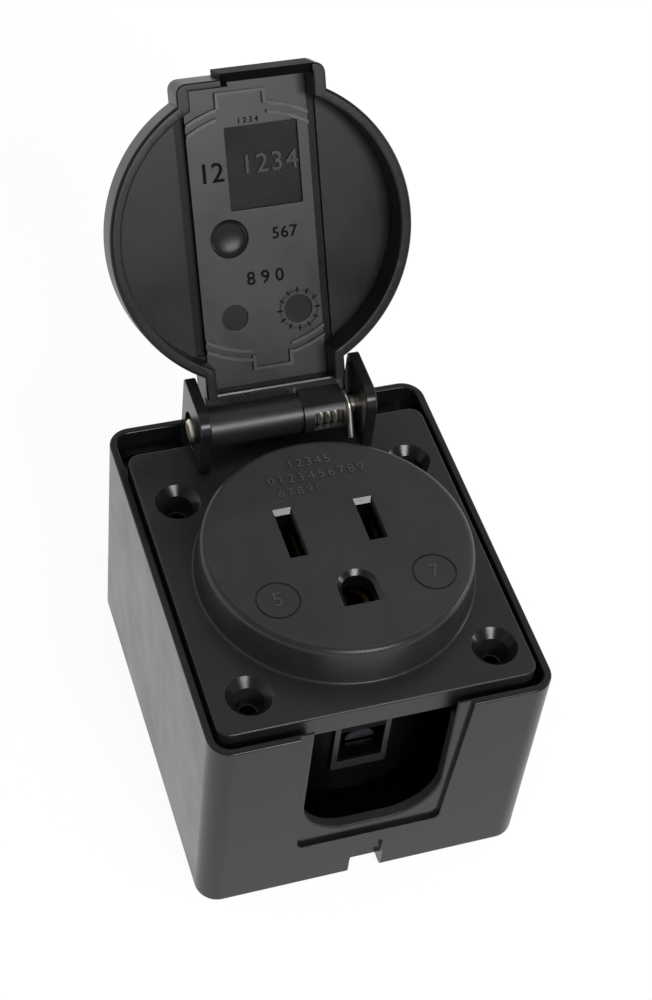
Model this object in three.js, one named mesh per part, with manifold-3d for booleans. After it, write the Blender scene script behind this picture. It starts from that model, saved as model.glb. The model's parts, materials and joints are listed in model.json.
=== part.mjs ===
// A single three-wire socket outlet with a sprung lid, set in a surface box that lies on its back.
// Millimetres. +X is to the right of someone who faces the cable entry, +Y runs from the entry to the
// hinge, and +Z is the way the socket faces. The origin is the middle of the box's underside.
// The lid stands open, as it does in use when the plug is about to go in.
import * as THREE from "three";
import { mergeVertices } from "three/addons/utils/BufferGeometryUtils.js";
import Module from "manifold-3d";

// Surface box
const boxWidth = 53;
const boxDepth = 64.5;
const boxHeight = 41;
const boxCornerRadius = 3.6;
const boxFootRadius = 1.1;
const rimThickness = 1.2;
const ledgeWidth = 1.2;
const recessDepth = 4;
const floorThickness = 2.2;
const bossRadius = 3.3;
const pilotRadius = 1.3;
const pilotDepth = 14;
const bossWebThickness = 1.6;
const wallScrewHoleRadius = 2.2;
const wallScrewPitch = 30;

// Cable entry in the box's front wall
const panelRecess = 1.3;
const panelTopWidth = 26.6;
const panelFootWidth = 23.2;
const panelSill = 11;
const panelCornerRadius = 1;
const entryWidth = 22;
const entrySill = 13.4;
const entryCornerRadius = 8;
const notchWidth = 5.4;
const notchHeight = 4.8;
const notchOffset = 0.4;
const notchRunOut = 0.2;

// Socket housing: flange, raised face and hinge ears in one moulding
const flangeThickness = 4.3;
const flangeCornerRadius = 2.2;
const flangeEdgeChamfer = 0.4;
const flangeFrontGap = 1.85;
const flangeBackGap = 4.85;
const flangeSideGap = 0.6;
const faceFromFlangeFront = 25.2;
const faceRadius = 21.8;
const faceTaper = 0.45;
const faceHeight = 6.7;
const faceEdgeRadius = 0.8;
const faceFootFillet = 0.6;
const faceThickness = 3;
const faceBoreRadius = 18.8;
const mountingPitch = 38.1;
const mountingHoleRadius = 2.2;
const countersinkRadius = 4;
const countersinkDepth = 1.9;

// Plug openings, to the usual three-wire pattern
const bladePitch = 12.7;
const bladeRowOffset = 3.5;
const groundOffset = 11.8;
const slotWidth = 2.4;
const neutralSlotLength = 8.8;
const lineSlotLength = 7.6;
const slotLeadIn = 0.45;
const slotLeadInDepth = 0.8;
const groundHoleWidth = 5;
const groundHoleLength = 5.7;

// Hinge
const hingeFromFlangeBack = 0.6;
const hingeAboveFlange = 4;
const earInnerSpan = 25.2;
const earThickness = 1.8;
const earFrontReach = 5.9;
const earTopReach = 7;
const earFrontRadius = 3;
const earBackRadius = 1;
const earBackGap = 0.35;
const pinRadius = 1.4;
const pinClearance = 0.15;
const pinSeatRadius = 3;
const pinSeatDepth = 0.6;
const pinHeadRadius = 2.3;
const pinHeadHeight = 0.8;
const pinHeadGap = 0.2;
const pinHeadEdge = 0.4;
const pinEndStand = 0.3;
const pinEndChamfer = 0.25;
const heelBlockDrop = 0.35;

// Lid, in its own frame: along is the distance from the hinge axis, rise the height above it when shut
const lidOpenAngle = 120;
const lidRadius = 24.1;
const lidLipWidth = 1.8;
const lidLipRise = -1.4;
const lidFloorRise = 4.3;
const lidBandRise = 3.6;
const lidSkinThickness = 1.6;
const lidCrown = 0.5;
const lidEdgeRadius = 2.6;
const bandWidth = 19.4;
const bandGrooveWidth = 1.3;
const bandGrooveDepth = 0.6;
const tabWidth = 23.4;
const tabReach = 25.1;
const tabWall = 1.2;
const tabCornerRadius = 1.6;
const catchLeftEnd = -6.2;
const catchRightEnd = 10.9;
const catchStand = 0.6;
const catchProud = 0.5;
const catchThickness = 2.6;
const neckWidth = 22.8;
const neckRise = 5.2;
const sillReach = 4.9;
const sillRise = 0.6;
const ringRadius = 20.9;
const ringWidth = 1;
const ringHeight = 0.4;
const ringRoot = 0.5;
const ringGapHalf = 3.4;
const windowWidth = 11.6;
const windowLength = 12.9;
const windowDepth = 0.5;
const windowCentreX = 2.2;
const windowAlong = 39.3;
const markDepth = 0.3;
const dishMark = { x: -5.2, along: 28.2, radius: 2.7 };
const plainMark = { x: -5.2, along: 15.4, radius: 2 };
const dialMark = { x: 5.2, along: 15.3, radius: 2.7 };
const barrelRadius = 3.3;
const barrelLeftEnd = -11.9;
const barrelRightEnd = 11.2;
const barrelBoreClearance = 0.2;
const barrelStepX = 3.3;
const barrelStepWidth = 0.5;
const barrelStepDepth = 0.3;
const barrelSlotWidth = 5;
const barrelSlotHeight = 3.1;
const barrelSlotLift = 0.7;
const barrelSlotWall = 0.4;
const barrelSlotShift = -0.2;
const springBarrelRadius = 3.6;
const springBarrelFlat = 3;
const heelAngle = 108;

// Torsion spring round the pin
const springWireRadius = 0.4;
const springCoilRadius = 2.05;
const springTurns = 6;
const springCoilClearance = 0.2;
const springEarGap = 0.3;
const springLength = 7.8;
const springLidLeg = 2;
const springLegAngle = 29.2;
const springLegGap = 0.3;

// Contact carrier behind the face
const carrierRadius = 20;
const carrierDepth = 25;
const carrierFaceGap = 0.3;
const carrierBoreGap = 0.4;
const pillarRadius = 2.7;
const pillarX = 10.6;
const pillarFromFace = 10.4;
const pillarLength = 7;
const pillarGap = 0.3;

// Brass contacts
const bladeThickness = 1.5;
const leafThickness = 0.8;
const leafPinch = 0.1;
const leafFlare = 0.9;
const leafFlareLength = 2.4;
const neutralLeafWidth = 7.4;
const lineLeafWidth = 6.4;
const leafTopGap = 0.7;
const stripWidth = 4.8;
const stripThickness = 0.8;
const groundSleeveRadius = 3.1;
const groundSleeveWall = 0.7;
const groundSleeveSplit = 1.4;
const groundSleeveBand = 4;
const contactChamberGap = 0.5;

// Screw terminals: each cage is open above and below, and its screw faces outwards in a port of the carrier
const cageWidth = 7.4;
const cageHeight = 7.4;
const cageDepth = 7.6;
const cageWall = 1.1;
const cageDrop = 8.9;
const cageGap = 0.3;
const stripToCageGap = 0.3;
const tabFootRise = 0.8;
const portWidth = 7;
const portHeight = 7.6;
const portBackWall = 0.8;
const towerReach = 20.3;
const towerWall = 1.1;
const towerFootWall = 2.3;
const terminalScrewRadius = 1.7;
const terminalScrewLength = 5.4;
const terminalBackOff = 1.6; // how far the screws stand backed out, as they are delivered
const terminalHeadRadius = 2.7;
const terminalHeadHeight = 1.7;
const terminalHeadInset = 0.8;
const screwClearance = 0.2;
const driverSlotWidth = 0.8;
const driverSlotDepth = 0.8;

// Screws that hold the carrier to the housing
const carrierScrewRadius = 1.3;
const carrierScrewBite = 5;
const pilotSlack = 0.1;
const carrierHeadRadius = 2.6;
const carrierHeadHeight = 1.8;
const headSink = 0.4;

// Facets round each size of circle
const largeFacets = 72;
const middleFacets = 32;
const smallFacets = 20;
const past = 1; // how far a cutting solid runs past the face that it cuts

// Places that follow from the sizes above
const ledgeZ = boxHeight - recessDepth;
const flangeTopZ = ledgeZ + flangeThickness;
const faceTopZ = flangeTopZ + faceHeight;
const rimInnerY = boxDepth / 2 - rimThickness;
const flangeWidth = boxWidth - 2 * (rimThickness + flangeSideGap);
const flangeFrontY = -rimInnerY + flangeFrontGap;
const flangeBackY = rimInnerY - flangeBackGap;
const faceY = flangeFrontY + faceFromFlangeFront;
const bladeY = faceY + bladeRowOffset;
const groundY = bladeY - groundOffset;
const hingeY = flangeBackY - hingeFromFlangeBack;
const hingeZ = flangeTopZ + hingeAboveFlange;
const earOuterX = earInnerSpan / 2 + earThickness;
const earBackY = rimInnerY - earBackGap;
const lidCentreAlong = hingeY - faceY;
const springChamberRadius = springCoilRadius + springWireRadius + springCoilClearance;
const springRightX = earInnerSpan / 2 - springEarGap - springWireRadius;
const springLeftX = springRightX - springLength;
const carrierTopZ = faceTopZ - faceThickness - carrierFaceGap;
const carrierFootZ = ledgeZ - carrierDepth;
const cageTopZ = ledgeZ - cageDrop;
const cageFootZ = cageTopZ - cageHeight;
const cageOuterRadius = towerReach - terminalHeadInset - terminalHeadHeight - terminalBackOff;
const cageInnerRadius = cageOuterRadius - cageDepth;
const terminalZ = cageTopZ - cageHeight / 2;
const stripFootZ = cageTopZ + stripToCageGap;
const stripTopZ = stripFootZ + stripThickness;
const tabInnerRadius = cageInnerRadius + cageWall + stripToCageGap;
const tabOuterRadius = tabInnerRadius + stripThickness;
const pillarY = faceY - pillarFromFace;
const terminals = [
  { name: "neutral", angle: Math.PI, x: -bladePitch / 2, y: bladeY },
  { name: "line", angle: 0, x: bladePitch / 2, y: bladeY },
  { name: "ground", angle: -Math.PI / 2, x: 0, y: groundY },
];

const finishes = {
  boxPlastic: new THREE.MeshStandardMaterial({ color: 0x2b2d2e, roughness: 0.38, metalness: 0 }),
  housingPlastic: new THREE.MeshStandardMaterial({ color: 0x2a2c2d, roughness: 0.55, metalness: 0 }),
  lidPlastic: new THREE.MeshStandardMaterial({ color: 0x2c2e2f, roughness: 0.52, metalness: 0 }),
  carrierPlastic: new THREE.MeshStandardMaterial({ color: 0x1c1c1e, roughness: 0.7, metalness: 0 }),
  brass: new THREE.MeshStandardMaterial({ color: 0xc79a4b, roughness: 0.32, metalness: 1 }),
  platedSteel: new THREE.MeshStandardMaterial({ color: 0xb9bab6, roughness: 0.3, metalness: 1 }),
  springSteel: new THREE.MeshStandardMaterial({ color: 0xd8d2c4, roughness: 0.25, metalness: 1 }),
};

const manifold = await Module();
manifold.setup();

// Solids from three.js geometries

function solid(geometry) {
  const bare = geometry.index ? geometry.toNonIndexed() : geometry.clone();
  bare.deleteAttribute("normal");
  bare.deleteAttribute("uv");
  const merged = mergeVertices(bare, 1e-4);
  return new manifold.Manifold(
    new manifold.Mesh({
      numProp: 3,
      vertProperties: merged.attributes.position.array,
      triVerts: new Uint32Array(merged.index.array),
    }),
  );
}

function meshOf(name, body, finish) {
  const { vertProperties, triVerts } = body.getMesh();
  const geometry = new THREE.BufferGeometry();
  geometry.setAttribute("position", new THREE.BufferAttribute(vertProperties, 3));
  geometry.setIndex(new THREE.BufferAttribute(triVerts, 1));
  geometry.computeVertexNormals();
  const mesh = new THREE.Mesh(geometry, finish);
  mesh.name = name;
  return mesh;
}

function joined(...bodies) {
  return bodies.reduce((whole, body) => whole.add(body));
}

function block(x0, x1, y0, y1, z0, z1) {
  const geometry = new THREE.BoxGeometry(x1 - x0, y1 - y0, z1 - z0);
  geometry.translate((x0 + x1) / 2, (y0 + y1) / 2, (z0 + z1) / 2);
  return solid(geometry);
}

function upright(radius, z0, z1, x = 0, y = 0, facets = smallFacets, topRadius = radius) {
  const geometry = new THREE.CylinderGeometry(topRadius, radius, z1 - z0, facets);
  geometry.rotateX(Math.PI / 2);
  geometry.translate(x, y, (z0 + z1) / 2);
  return solid(geometry);
}

function crosswise(radius, x0, x1, y, z, facets = middleFacets) {
  const geometry = new THREE.CylinderGeometry(radius, radius, x1 - x0, facets);
  geometry.rotateZ(-Math.PI / 2);
  geometry.translate((x0 + x1) / 2, y, z);
  return solid(geometry);
}

function roundedOutline(x0, x1, y0, y1, radii) {
  const [frontLeft, frontRight, backRight, backLeft] = Array.isArray(radii) ? radii : Array(4).fill(radii);
  const outline = new THREE.Shape();
  outline.moveTo(x0 + frontLeft, y0);
  outline.lineTo(x1 - frontRight, y0);
  if (frontRight) outline.absarc(x1 - frontRight, y0 + frontRight, frontRight, -Math.PI / 2, 0);
  outline.lineTo(x1, y1 - backRight);
  if (backRight) outline.absarc(x1 - backRight, y1 - backRight, backRight, 0, Math.PI / 2);
  outline.lineTo(x0 + backLeft, y1);
  if (backLeft) outline.absarc(x0 + backLeft, y1 - backLeft, backLeft, Math.PI / 2, Math.PI);
  outline.lineTo(x0, y0 + frontLeft);
  if (frontLeft) outline.absarc(x0 + frontLeft, y0 + frontLeft, frontLeft, Math.PI, 1.5 * Math.PI);
  return outline;
}

// A prism that stands on an outline, with an even bevel at both ends if one is asked for
function prism(outline, z0, z1, bevel = 0, bevelSegments = 1, curveSegments = 6) {
  const geometry = new THREE.ExtrudeGeometry(outline, {
    depth: z1 - z0 - 2 * bevel,
    bevelEnabled: bevel > 0,
    bevelThickness: bevel,
    bevelSize: bevel,
    bevelOffset: -bevel,
    bevelSegments,
    curveSegments,
  });
  geometry.translate(0, 0, z0 + bevel);
  return solid(geometry);
}

// A prism along +Y of an outline drawn as the front view, x to the right and z up
function frontPrism(outline, y0, y1, curveSegments = 8) {
  const geometry = new THREE.ExtrudeGeometry(outline, { depth: y1 - y0, bevelEnabled: false, curveSegments });
  geometry.rotateX(Math.PI / 2);
  geometry.translate(0, y1, 0);
  return solid(geometry);
}

// A prism along +X of an outline drawn as the right side view, y across and z up
function sidePrism(outline, x0, x1, curveSegments = 10) {
  const geometry = new THREE.ExtrudeGeometry(outline, { depth: x1 - x0, bevelEnabled: false, curveSegments });
  geometry.rotateY(Math.PI / 2);
  geometry.rotateX(Math.PI / 2);
  geometry.translate(x0, 0, 0);
  return solid(geometry);
}

// A solid of revolution about the upright line through (x, y): the profile lists [radius, z] upwards
function turned(profile, x = 0, y = 0, facets = largeFacets) {
  const points = profile.map(([radius, z]) => new THREE.Vector2(radius, z));
  const geometry = new THREE.LatheGeometry(points, facets);
  geometry.rotateX(Math.PI / 2);
  geometry.translate(x, y, 0);
  return solid(geometry);
}

function quarterArc(centreRadius, centreZ, radius, from, to, steps = 4) {
  return Array.from({ length: steps + 1 }, (_, i) => {
    const angle = from + ((to - from) * i) / steps;
    return [centreRadius + radius * Math.cos(angle), centreZ + radius * Math.sin(angle)];
  });
}

// Surface box

function boxOutline(inset, radius) {
  const halfWidth = boxWidth / 2 - inset;
  const halfDepth = boxDepth / 2 - inset;
  return roundedOutline(-halfWidth, halfWidth, -halfDepth, halfDepth, radius);
}

function mountingPoints() {
  const half = mountingPitch / 2;
  return [
    [-half, faceY - half],
    [half, faceY - half],
    [half, faceY + half],
    [-half, faceY + half],
  ];
}

function boxBoss([x, y]) {
  const wallX = Math.sign(x) * (boxWidth / 2 - rimThickness);
  const [x0, x1] = x < 0 ? [wallX, x] : [x, wallX];
  const web = block(x0, x1, y - bossWebThickness / 2, y + bossWebThickness / 2, 0, ledgeZ);
  const foot = floorThickness / 2;
  return joined(upright(bossRadius, foot, ledgeZ, x, y, middleFacets), web)
    .subtract(upright(pilotRadius, ledgeZ - pilotDepth, ledgeZ + past, x, y, smallFacets));
}

function entryCut() {
  const corners = [entryCornerRadius, entryCornerRadius, 0, 0];
  const entry = roundedOutline(-entryWidth / 2, entryWidth / 2, entrySill, boxHeight + past, corners);
  return frontPrism(entry, -boxDepth / 2 - past, -boxDepth / 2 + rimThickness + ledgeWidth + past);
}

function panelCut() {
  const foot = panelFootWidth / 2;
  const top = panelTopWidth / 2;
  const lean = (top - foot) / (boxHeight - panelSill);
  const r = panelCornerRadius;
  const panel = new THREE.Shape();
  panel.moveTo(-foot + r, panelSill);
  panel.lineTo(foot - r, panelSill);
  panel.quadraticCurveTo(foot, panelSill, foot + lean * r, panelSill + r);
  panel.lineTo(top + lean * past, boxHeight + past);
  panel.lineTo(-top - lean * past, boxHeight + past);
  panel.lineTo(-foot - lean * r, panelSill + r);
  panel.quadraticCurveTo(-foot, panelSill, -foot + r, panelSill);
  return frontPrism(panel, -boxDepth / 2 - past, -boxDepth / 2 + panelRecess, 3);
}

function surfaceBox() {
  const wall = rimThickness + ledgeWidth;
  const innerRadius = Math.max(boxCornerRadius - wall, 0.8);
  const shell = joined(
    prism(boxOutline(0, boxCornerRadius), 0, boxHeight / 2, boxFootRadius, 3),
    prism(boxOutline(0, boxCornerRadius), boxFootRadius, boxHeight),
  )
    .subtract(prism(boxOutline(wall, innerRadius), floorThickness, boxHeight))
    .subtract(prism(boxOutline(rimThickness, boxCornerRadius - rimThickness), ledgeZ, boxHeight + past));
  const frontY = -boxDepth / 2;
  const notchHalf = notchWidth / 2;
  const notch = block(notchOffset - notchHalf, notchOffset + notchHalf,
    frontY - past, frontY + wall + notchRunOut, -past, notchHeight);
  const wallScrewHoles = [-1, 1].map((side) =>
    upright(wallScrewHoleRadius, -past, floorThickness + past, 0, (side * wallScrewPitch) / 2));
  return [notch, entryCut(), panelCut(), ...wallScrewHoles].reduce(
    (body, cut) => body.subtract(cut),
    joined(shell, ...mountingPoints().map(boxBoss)),
  );
}

// Socket housing

function slotCut(x, length, width, z0) {
  const outline = (grow) => roundedOutline(
    x - width / 2 - grow, x + width / 2 + grow, bladeY - length / 2 - grow, bladeY + length / 2 + grow, 0);
  return joined(prism(outline(0), z0, faceTopZ + past), leadIn(outline, slotLeadIn));
}

// The flared mouth of a plug opening: its outline grows evenly up to the face
function leadIn(outline, grow) {
  const geometry = new THREE.ExtrudeGeometry(outline(grow), {
    depth: past,
    bevelEnabled: true,
    bevelThickness: slotLeadInDepth,
    bevelSize: grow,
    bevelOffset: -grow,
    bevelSegments: 1,
    curveSegments: 8,
  });
  geometry.translate(0, 0, faceTopZ);
  return solid(geometry);
}

function groundOutline(grow) {
  const half = groundHoleWidth / 2 + grow;
  const arcY = groundY + groundHoleLength / 2 - groundHoleWidth / 2;
  const outline = new THREE.Shape();
  outline.moveTo(-half, groundY - groundHoleLength / 2 - grow);
  outline.lineTo(half, groundY - groundHoleLength / 2 - grow);
  outline.lineTo(half, arcY);
  outline.absarc(0, arcY, half, 0, Math.PI);
  outline.lineTo(-half, groundY - groundHoleLength / 2 - grow);
  return outline;
}

function countersunkHole([x, y]) {
  return joined(
    upright(mountingHoleRadius, ledgeZ - past, flangeTopZ + past, x, y, middleFacets),
    upright(mountingHoleRadius, flangeTopZ - countersinkDepth, flangeTopZ, x, y, middleFacets,
      countersinkRadius),
    upright(countersinkRadius, flangeTopZ, flangeTopZ + past, x, y, middleFacets),
  );
}

function raisedFace() {
  const topRadius = faceRadius - faceTaper;
  const foot = faceRadius + faceFootFillet;
  const filletZ = flangeTopZ + faceFootFillet;
  return turned([
    [0, ledgeZ],
    [foot, ledgeZ],
    [foot, flangeTopZ],
    ...quarterArc(foot, filletZ, faceFootFillet, -Math.PI / 2, -Math.PI, 3).slice(1),
    ...quarterArc(topRadius - faceEdgeRadius, faceTopZ - faceEdgeRadius, faceEdgeRadius, 0, Math.PI / 2),
    [0, faceTopZ],
  ], 0, faceY);
}

// An ear stands up past the pin, round at its front corner, and runs straight back to the box's rear wall
function hingeEar(side) {
  const frontY = hingeY - earFrontReach;
  const topZ = hingeZ + earTopReach;
  const ear = new THREE.Shape();
  ear.moveTo(frontY, ledgeZ);
  ear.lineTo(earBackY, ledgeZ);
  ear.lineTo(earBackY, topZ - earBackRadius);
  ear.absarc(earBackY - earBackRadius, topZ - earBackRadius, earBackRadius, 0, Math.PI / 2);
  ear.lineTo(frontY + earFrontRadius, topZ);
  ear.absarc(frontY + earFrontRadius, topZ - earFrontRadius, earFrontRadius, Math.PI / 2, Math.PI);
  ear.lineTo(frontY, ledgeZ);
  const [x0, x1] = side < 0 ? [-earOuterX, -earInnerSpan / 2] : [earInnerSpan / 2, earOuterX];
  return sidePrism(ear, x0, x1, 6);
}

function socketHousing() {
  const flange = prism(
    roundedOutline(-flangeWidth / 2, flangeWidth / 2, flangeFrontY, flangeBackY, flangeCornerRadius),
    ledgeZ, flangeTopZ, flangeEdgeChamfer, 1, 4);
  const heelTopZ = flangeTopZ - heelBlockDrop;
  const heelBlock = block(-earOuterX, earOuterX, flangeBackY - past, earBackY, ledgeZ, heelTopZ);
  const faceUnderZ = faceTopZ - faceThickness;
  const pillarFootZ = faceUnderZ - pillarLength;
  const pillars = [-1, 1].map((side) =>
    upright(pillarRadius, pillarFootZ, faceUnderZ + past, side * pillarX, pillarY));
  const cuts = [
    crosswise(pinRadius + pinClearance, -earOuterX - past, earOuterX + past, hingeY, hingeZ),
    crosswise(pinSeatRadius, -earOuterX - past, -earOuterX + pinSeatDepth, hingeY, hingeZ),
    crosswise(pinSeatRadius, earOuterX - pinSeatDepth, earOuterX + past, hingeY, hingeZ),
    slotCut(-bladePitch / 2, neutralSlotLength, slotWidth, faceUnderZ - past),
    slotCut(bladePitch / 2, lineSlotLength, slotWidth, faceUnderZ - past),
    prism(groundOutline(0), faceUnderZ - past, faceTopZ + past, 0, 1, 8),
    leadIn(groundOutline, slotLeadIn),
    ...mountingPoints().map(countersunkHole),
    ...[-1, 1].map((side) =>
      upright(carrierScrewRadius + pilotSlack, pillarFootZ - past, faceUnderZ + 1, side * pillarX, pillarY)),
  ];
  const moulding = joined(flange, raisedFace(), heelBlock, hingeEar(-1), hingeEar(1))
    .subtract(upright(faceBoreRadius, ledgeZ - past, faceUnderZ, 0, faceY, largeFacets));
  return cuts.reduce((body, cut) => body.subtract(cut), joined(moulding, ...pillars));
}

// Lid, built shut with the hinge axis on the origin: y is minus the distance along the lid

function lidOutlinePiece(width, from, to, radii) {
  return roundedOutline(-width / 2, width / 2, -to, -from, radii);
}

function lidShell() {
  const topRise = lidFloorRise + lidSkinThickness;
  const shoulder = lidRadius - lidEdgeRadius;
  const disc = turned([
    [0, lidLipRise],
    [lidRadius, lidLipRise],
    ...quarterArc(shoulder, topRise - lidEdgeRadius, lidEdgeRadius, 0, Math.PI / 2),
    [0, topRise + lidCrown],
  ], 0, -lidCentreAlong);
  const tabEnd = lidCentreAlong + tabReach;
  const tab = prism(
    lidOutlinePiece(tabWidth, lidCentreAlong, tabEnd, [tabCornerRadius, tabCornerRadius, 0, 0]),
    lidLipRise, topRise - 1, 0.5, 1, 4);
  const neck = prism(lidOutlinePiece(neckWidth, 1, lidCentreAlong, 0), lidLipRise, neckRise);
  return joined(disc, tab, neck);
}

function lidHollow() {
  const rise = lidBandRise;
  const inner = lidRadius - lidLipWidth;
  const dish = upright(inner, lidLipRise - past, lidFloorRise, 0, -lidCentreAlong, largeFacets);
  const bandHalf = bandWidth / 2;
  const bandEnd = lidCentreAlong + tabReach - tabWall;
  const band = block(-bandHalf, bandHalf, -bandEnd - past, -sillReach + past, rise, lidFloorRise + past);
  const passage = block(-bandHalf, bandHalf, -bandEnd, -sillReach, lidLipRise - past, rise);
  const grooves = [-1, 1].map((side) => {
    const middle = side * (bandHalf + bandGrooveWidth / 2);
    const reach = Math.sqrt(inner ** 2 - (bandHalf + bandGrooveWidth) ** 2);
    return block(middle - bandGrooveWidth / 2, middle + bandGrooveWidth / 2,
      -lidCentreAlong - reach, -lidCentreAlong + reach, lidFloorRise - past, lidFloorRise + bandGrooveDepth);
  });
  return joined(dish.subtract(band), passage, ...grooves);
}

// The catch across the tab's end: a thicker bar that stands a little past the tab and below the lip
function tabCatch() {
  const end = lidCentreAlong + tabReach + catchStand;
  return block(catchLeftEnd, catchRightEnd, -end, -end + catchThickness,
    lidLipRise - catchProud, lidBandRise + ringRoot);
}

// Two rows of arcs that cross the band at its ends, broken where the mould's tongue lies
function bandArcs() {
  const rise = lidBandRise - ringHeight;
  const arcs = turned([
    [ringRadius - ringWidth, rise],
    [ringRadius, rise],
    [ringRadius, lidBandRise + past],
    [ringRadius - ringWidth, lidBandRise + past],
    [ringRadius - ringWidth, rise],
  ], 0, -lidCentreAlong);
  const half = bandWidth / 2;
  const far = -lidCentreAlong - lidRadius;
  const near = -lidCentreAlong + lidRadius;
  return [
    block(-half, -ringGapHalf, far, -lidCentreAlong, rise, lidBandRise + ringRoot),
    block(ringGapHalf, half, far, -lidCentreAlong, rise, lidBandRise + ringRoot),
    block(-half, half, -lidCentreAlong, near, rise, lidBandRise + ringRoot),
  ].map((part) => arcs.intersect(part));
}

function lidMarks() {
  const windowY = -windowAlong;
  const sunk = block(windowCentreX - windowWidth / 2, windowCentreX + windowWidth / 2,
    windowY - windowLength / 2, windowY + windowLength / 2, lidBandRise - past, lidBandRise + windowDepth);
  const marks = [dishMark, plainMark, dialMark].map(({ x, along, radius }) =>
    upright(radius, lidBandRise - past, lidBandRise + markDepth, x, -along, middleFacets));
  return [sunk, ...marks];
}

// The hinge end: a solid heel between the cheeks, carried by the barrel, that meets its stop when open
function lidHinge() {
  const half = neckWidth / 2;
  const heel = new THREE.Shape();
  const heelEnd = (heelAngle * Math.PI) / 180;
  heel.moveTo(-sillReach, sillRise);
  heel.lineTo(0, sillRise);
  heel.lineTo(barrelRadius * Math.sin(heelEnd - Math.PI / 2), 1);
  heel.lineTo(-neckRise * Math.cos(heelEnd), neckRise * Math.sin(heelEnd));
  heel.absarc(0, 0, neckRise, Math.PI - heelEnd, Math.PI / 2);
  heel.lineTo(-sillReach, neckRise);
  heel.lineTo(-sillReach, sillRise);
  return joined(
    sidePrism(heel, -half, barrelRightEnd, 5),
    crosswise(barrelRadius, barrelLeftEnd, barrelStepX, 0, 0, 28),
    springBarrel(),
  );
}

// The wider part of the barrel that houses the coil, with a flat that lies on top when the lid is open
function springBarrel() {
  const reach = Math.sqrt(springBarrelRadius ** 2 - springBarrelFlat ** 2) + 0.1;
  const flatEnd = barrelRightEnd + past;
  const flat = block(barrelStepX, flatEnd, -reach, reach, springBarrelFlat, springBarrelFlat + past);
  return crosswise(springBarrelRadius, barrelStepX, barrelRightEnd, 0, 0, 32)
    .subtract(flat.rotate([lidOpenAngle, 0, 0]));
}

function barrelCuts() {
  const openAngle = (-lidOpenAngle * Math.PI) / 180;
  const slot = new THREE.BoxGeometry(barrelSlotWidth, springBarrelRadius, barrelSlotHeight);
  const slotX = (barrelStepX + barrelRightEnd) / 2 + barrelSlotShift;
  slot.translate(slotX, -springBarrelRadius + barrelSlotWall, -barrelSlotLift);
  slot.rotateX(-openAngle);
  const chamberLeft = springLeftX - springWireRadius - 0.3;
  const room = springBarrelRadius + past;
  const groove = crosswise(room, barrelStepX - barrelStepWidth / 2, barrelStepX + barrelStepWidth / 2, 0, 0)
    .subtract(crosswise(barrelRadius - barrelStepDepth, barrelStepX - past, barrelStepX + past, 0, 0))
    .intersect(block(barrelStepX - past, barrelStepX + past, -room, room, -room, sillRise));
  return [
    crosswise(pinRadius + barrelBoreClearance, barrelLeftEnd - past, neckWidth / 2 + past, 0, 0),
    crosswise(springChamberRadius, chamberLeft, neckWidth / 2 + past, 0, 0),
    solid(slot),
    groove,
    springLegPocket(),
  ];
}

// The notch in the barrel's wall that takes the spring's short leg
function springLegPocket() {
  const room = springWireRadius + 0.3;
  return block(springLeftX - room, springLeftX + room,
    -springLidLeg - room, 0, -springCoilRadius - room, -springCoilRadius + room);
}

function lid() {
  const hinge = lidHinge();
  const reach = neckWidth / 2 + past;
  const lifted = block(-reach, reach, -sillReach, sillReach, lidLipRise - past, sillRise);
  const skin = lidShell().subtract(lidHollow()).subtract(lifted);
  const whole = joined(skin, hinge, tabCatch(), ...bandArcs());
  const cleared = [...lidMarks(), ...barrelCuts()].reduce((body, cut) => body.subtract(cut), whole);
  return cleared;
}

// Pin and spring

// The pin, with its head in the left ear's seat
function hingePin() {
  const end = earOuterX + pinEndStand;
  const headFoot = -earOuterX + pinSeatDepth - pinHeadGap;
  const headTop = headFoot - pinHeadHeight;
  const pin = turned([
    [0, headTop],
    [pinHeadRadius - pinHeadEdge, headTop],
    [pinHeadRadius, headTop + pinHeadEdge],
    [pinHeadRadius, headFoot],
    [pinRadius, headFoot],
    [pinRadius, end - pinEndChamfer],
    [pinRadius - pinEndChamfer, end],
    [0, end],
  ], 0, 0, middleFacets);
  return pin.rotate([0, 90, 0]);
}

// The wire's line about the hinge axis: a short leg in the lid, the coil, and a long leg down to the flange
class TorsionSpringCurve extends THREE.Curve {
  constructor() {
    super();
    const lean = (springLegAngle * Math.PI) / 180;
    this.startAngle = (lidOpenAngle + 30) * (Math.PI / 180);
    this.endAngle = Math.PI - lean + springTurns * 2 * Math.PI;
    this.legDown = new THREE.Vector3(0, -Math.sin(this.endAngle), Math.cos(this.endAngle));
    this.legUp = new THREE.Vector3(0, Math.sin(this.startAngle), -Math.cos(this.startAngle));
    const coilEndZ = springCoilRadius * Math.sin(this.endAngle);
    const drop = hingeAboveFlange - springWireRadius - springLegGap + coilEndZ;
    this.longLeg = drop / -this.legDown.z;
    this.coilLength = springCoilRadius * (this.endAngle - this.startAngle);
    this.total = springLidLeg + this.coilLength + this.longLeg;
  }

  onCoil(share) {
    const angle = this.startAngle + share * (this.endAngle - this.startAngle);
    const x = springLeftX + share * springLength;
    return new THREE.Vector3(x, springCoilRadius * Math.cos(angle), springCoilRadius * Math.sin(angle));
  }

  getPoint(t, target = new THREE.Vector3()) {
    const run = t * this.total;
    if (run < springLidLeg) {
      return target.copy(this.onCoil(0)).addScaledVector(this.legUp, springLidLeg - run);
    }
    const onward = run - springLidLeg;
    if (onward <= this.coilLength) return target.copy(this.onCoil(onward / this.coilLength));
    return target.copy(this.onCoil(1)).addScaledVector(this.legDown, onward - this.coilLength);
  }
}

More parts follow.
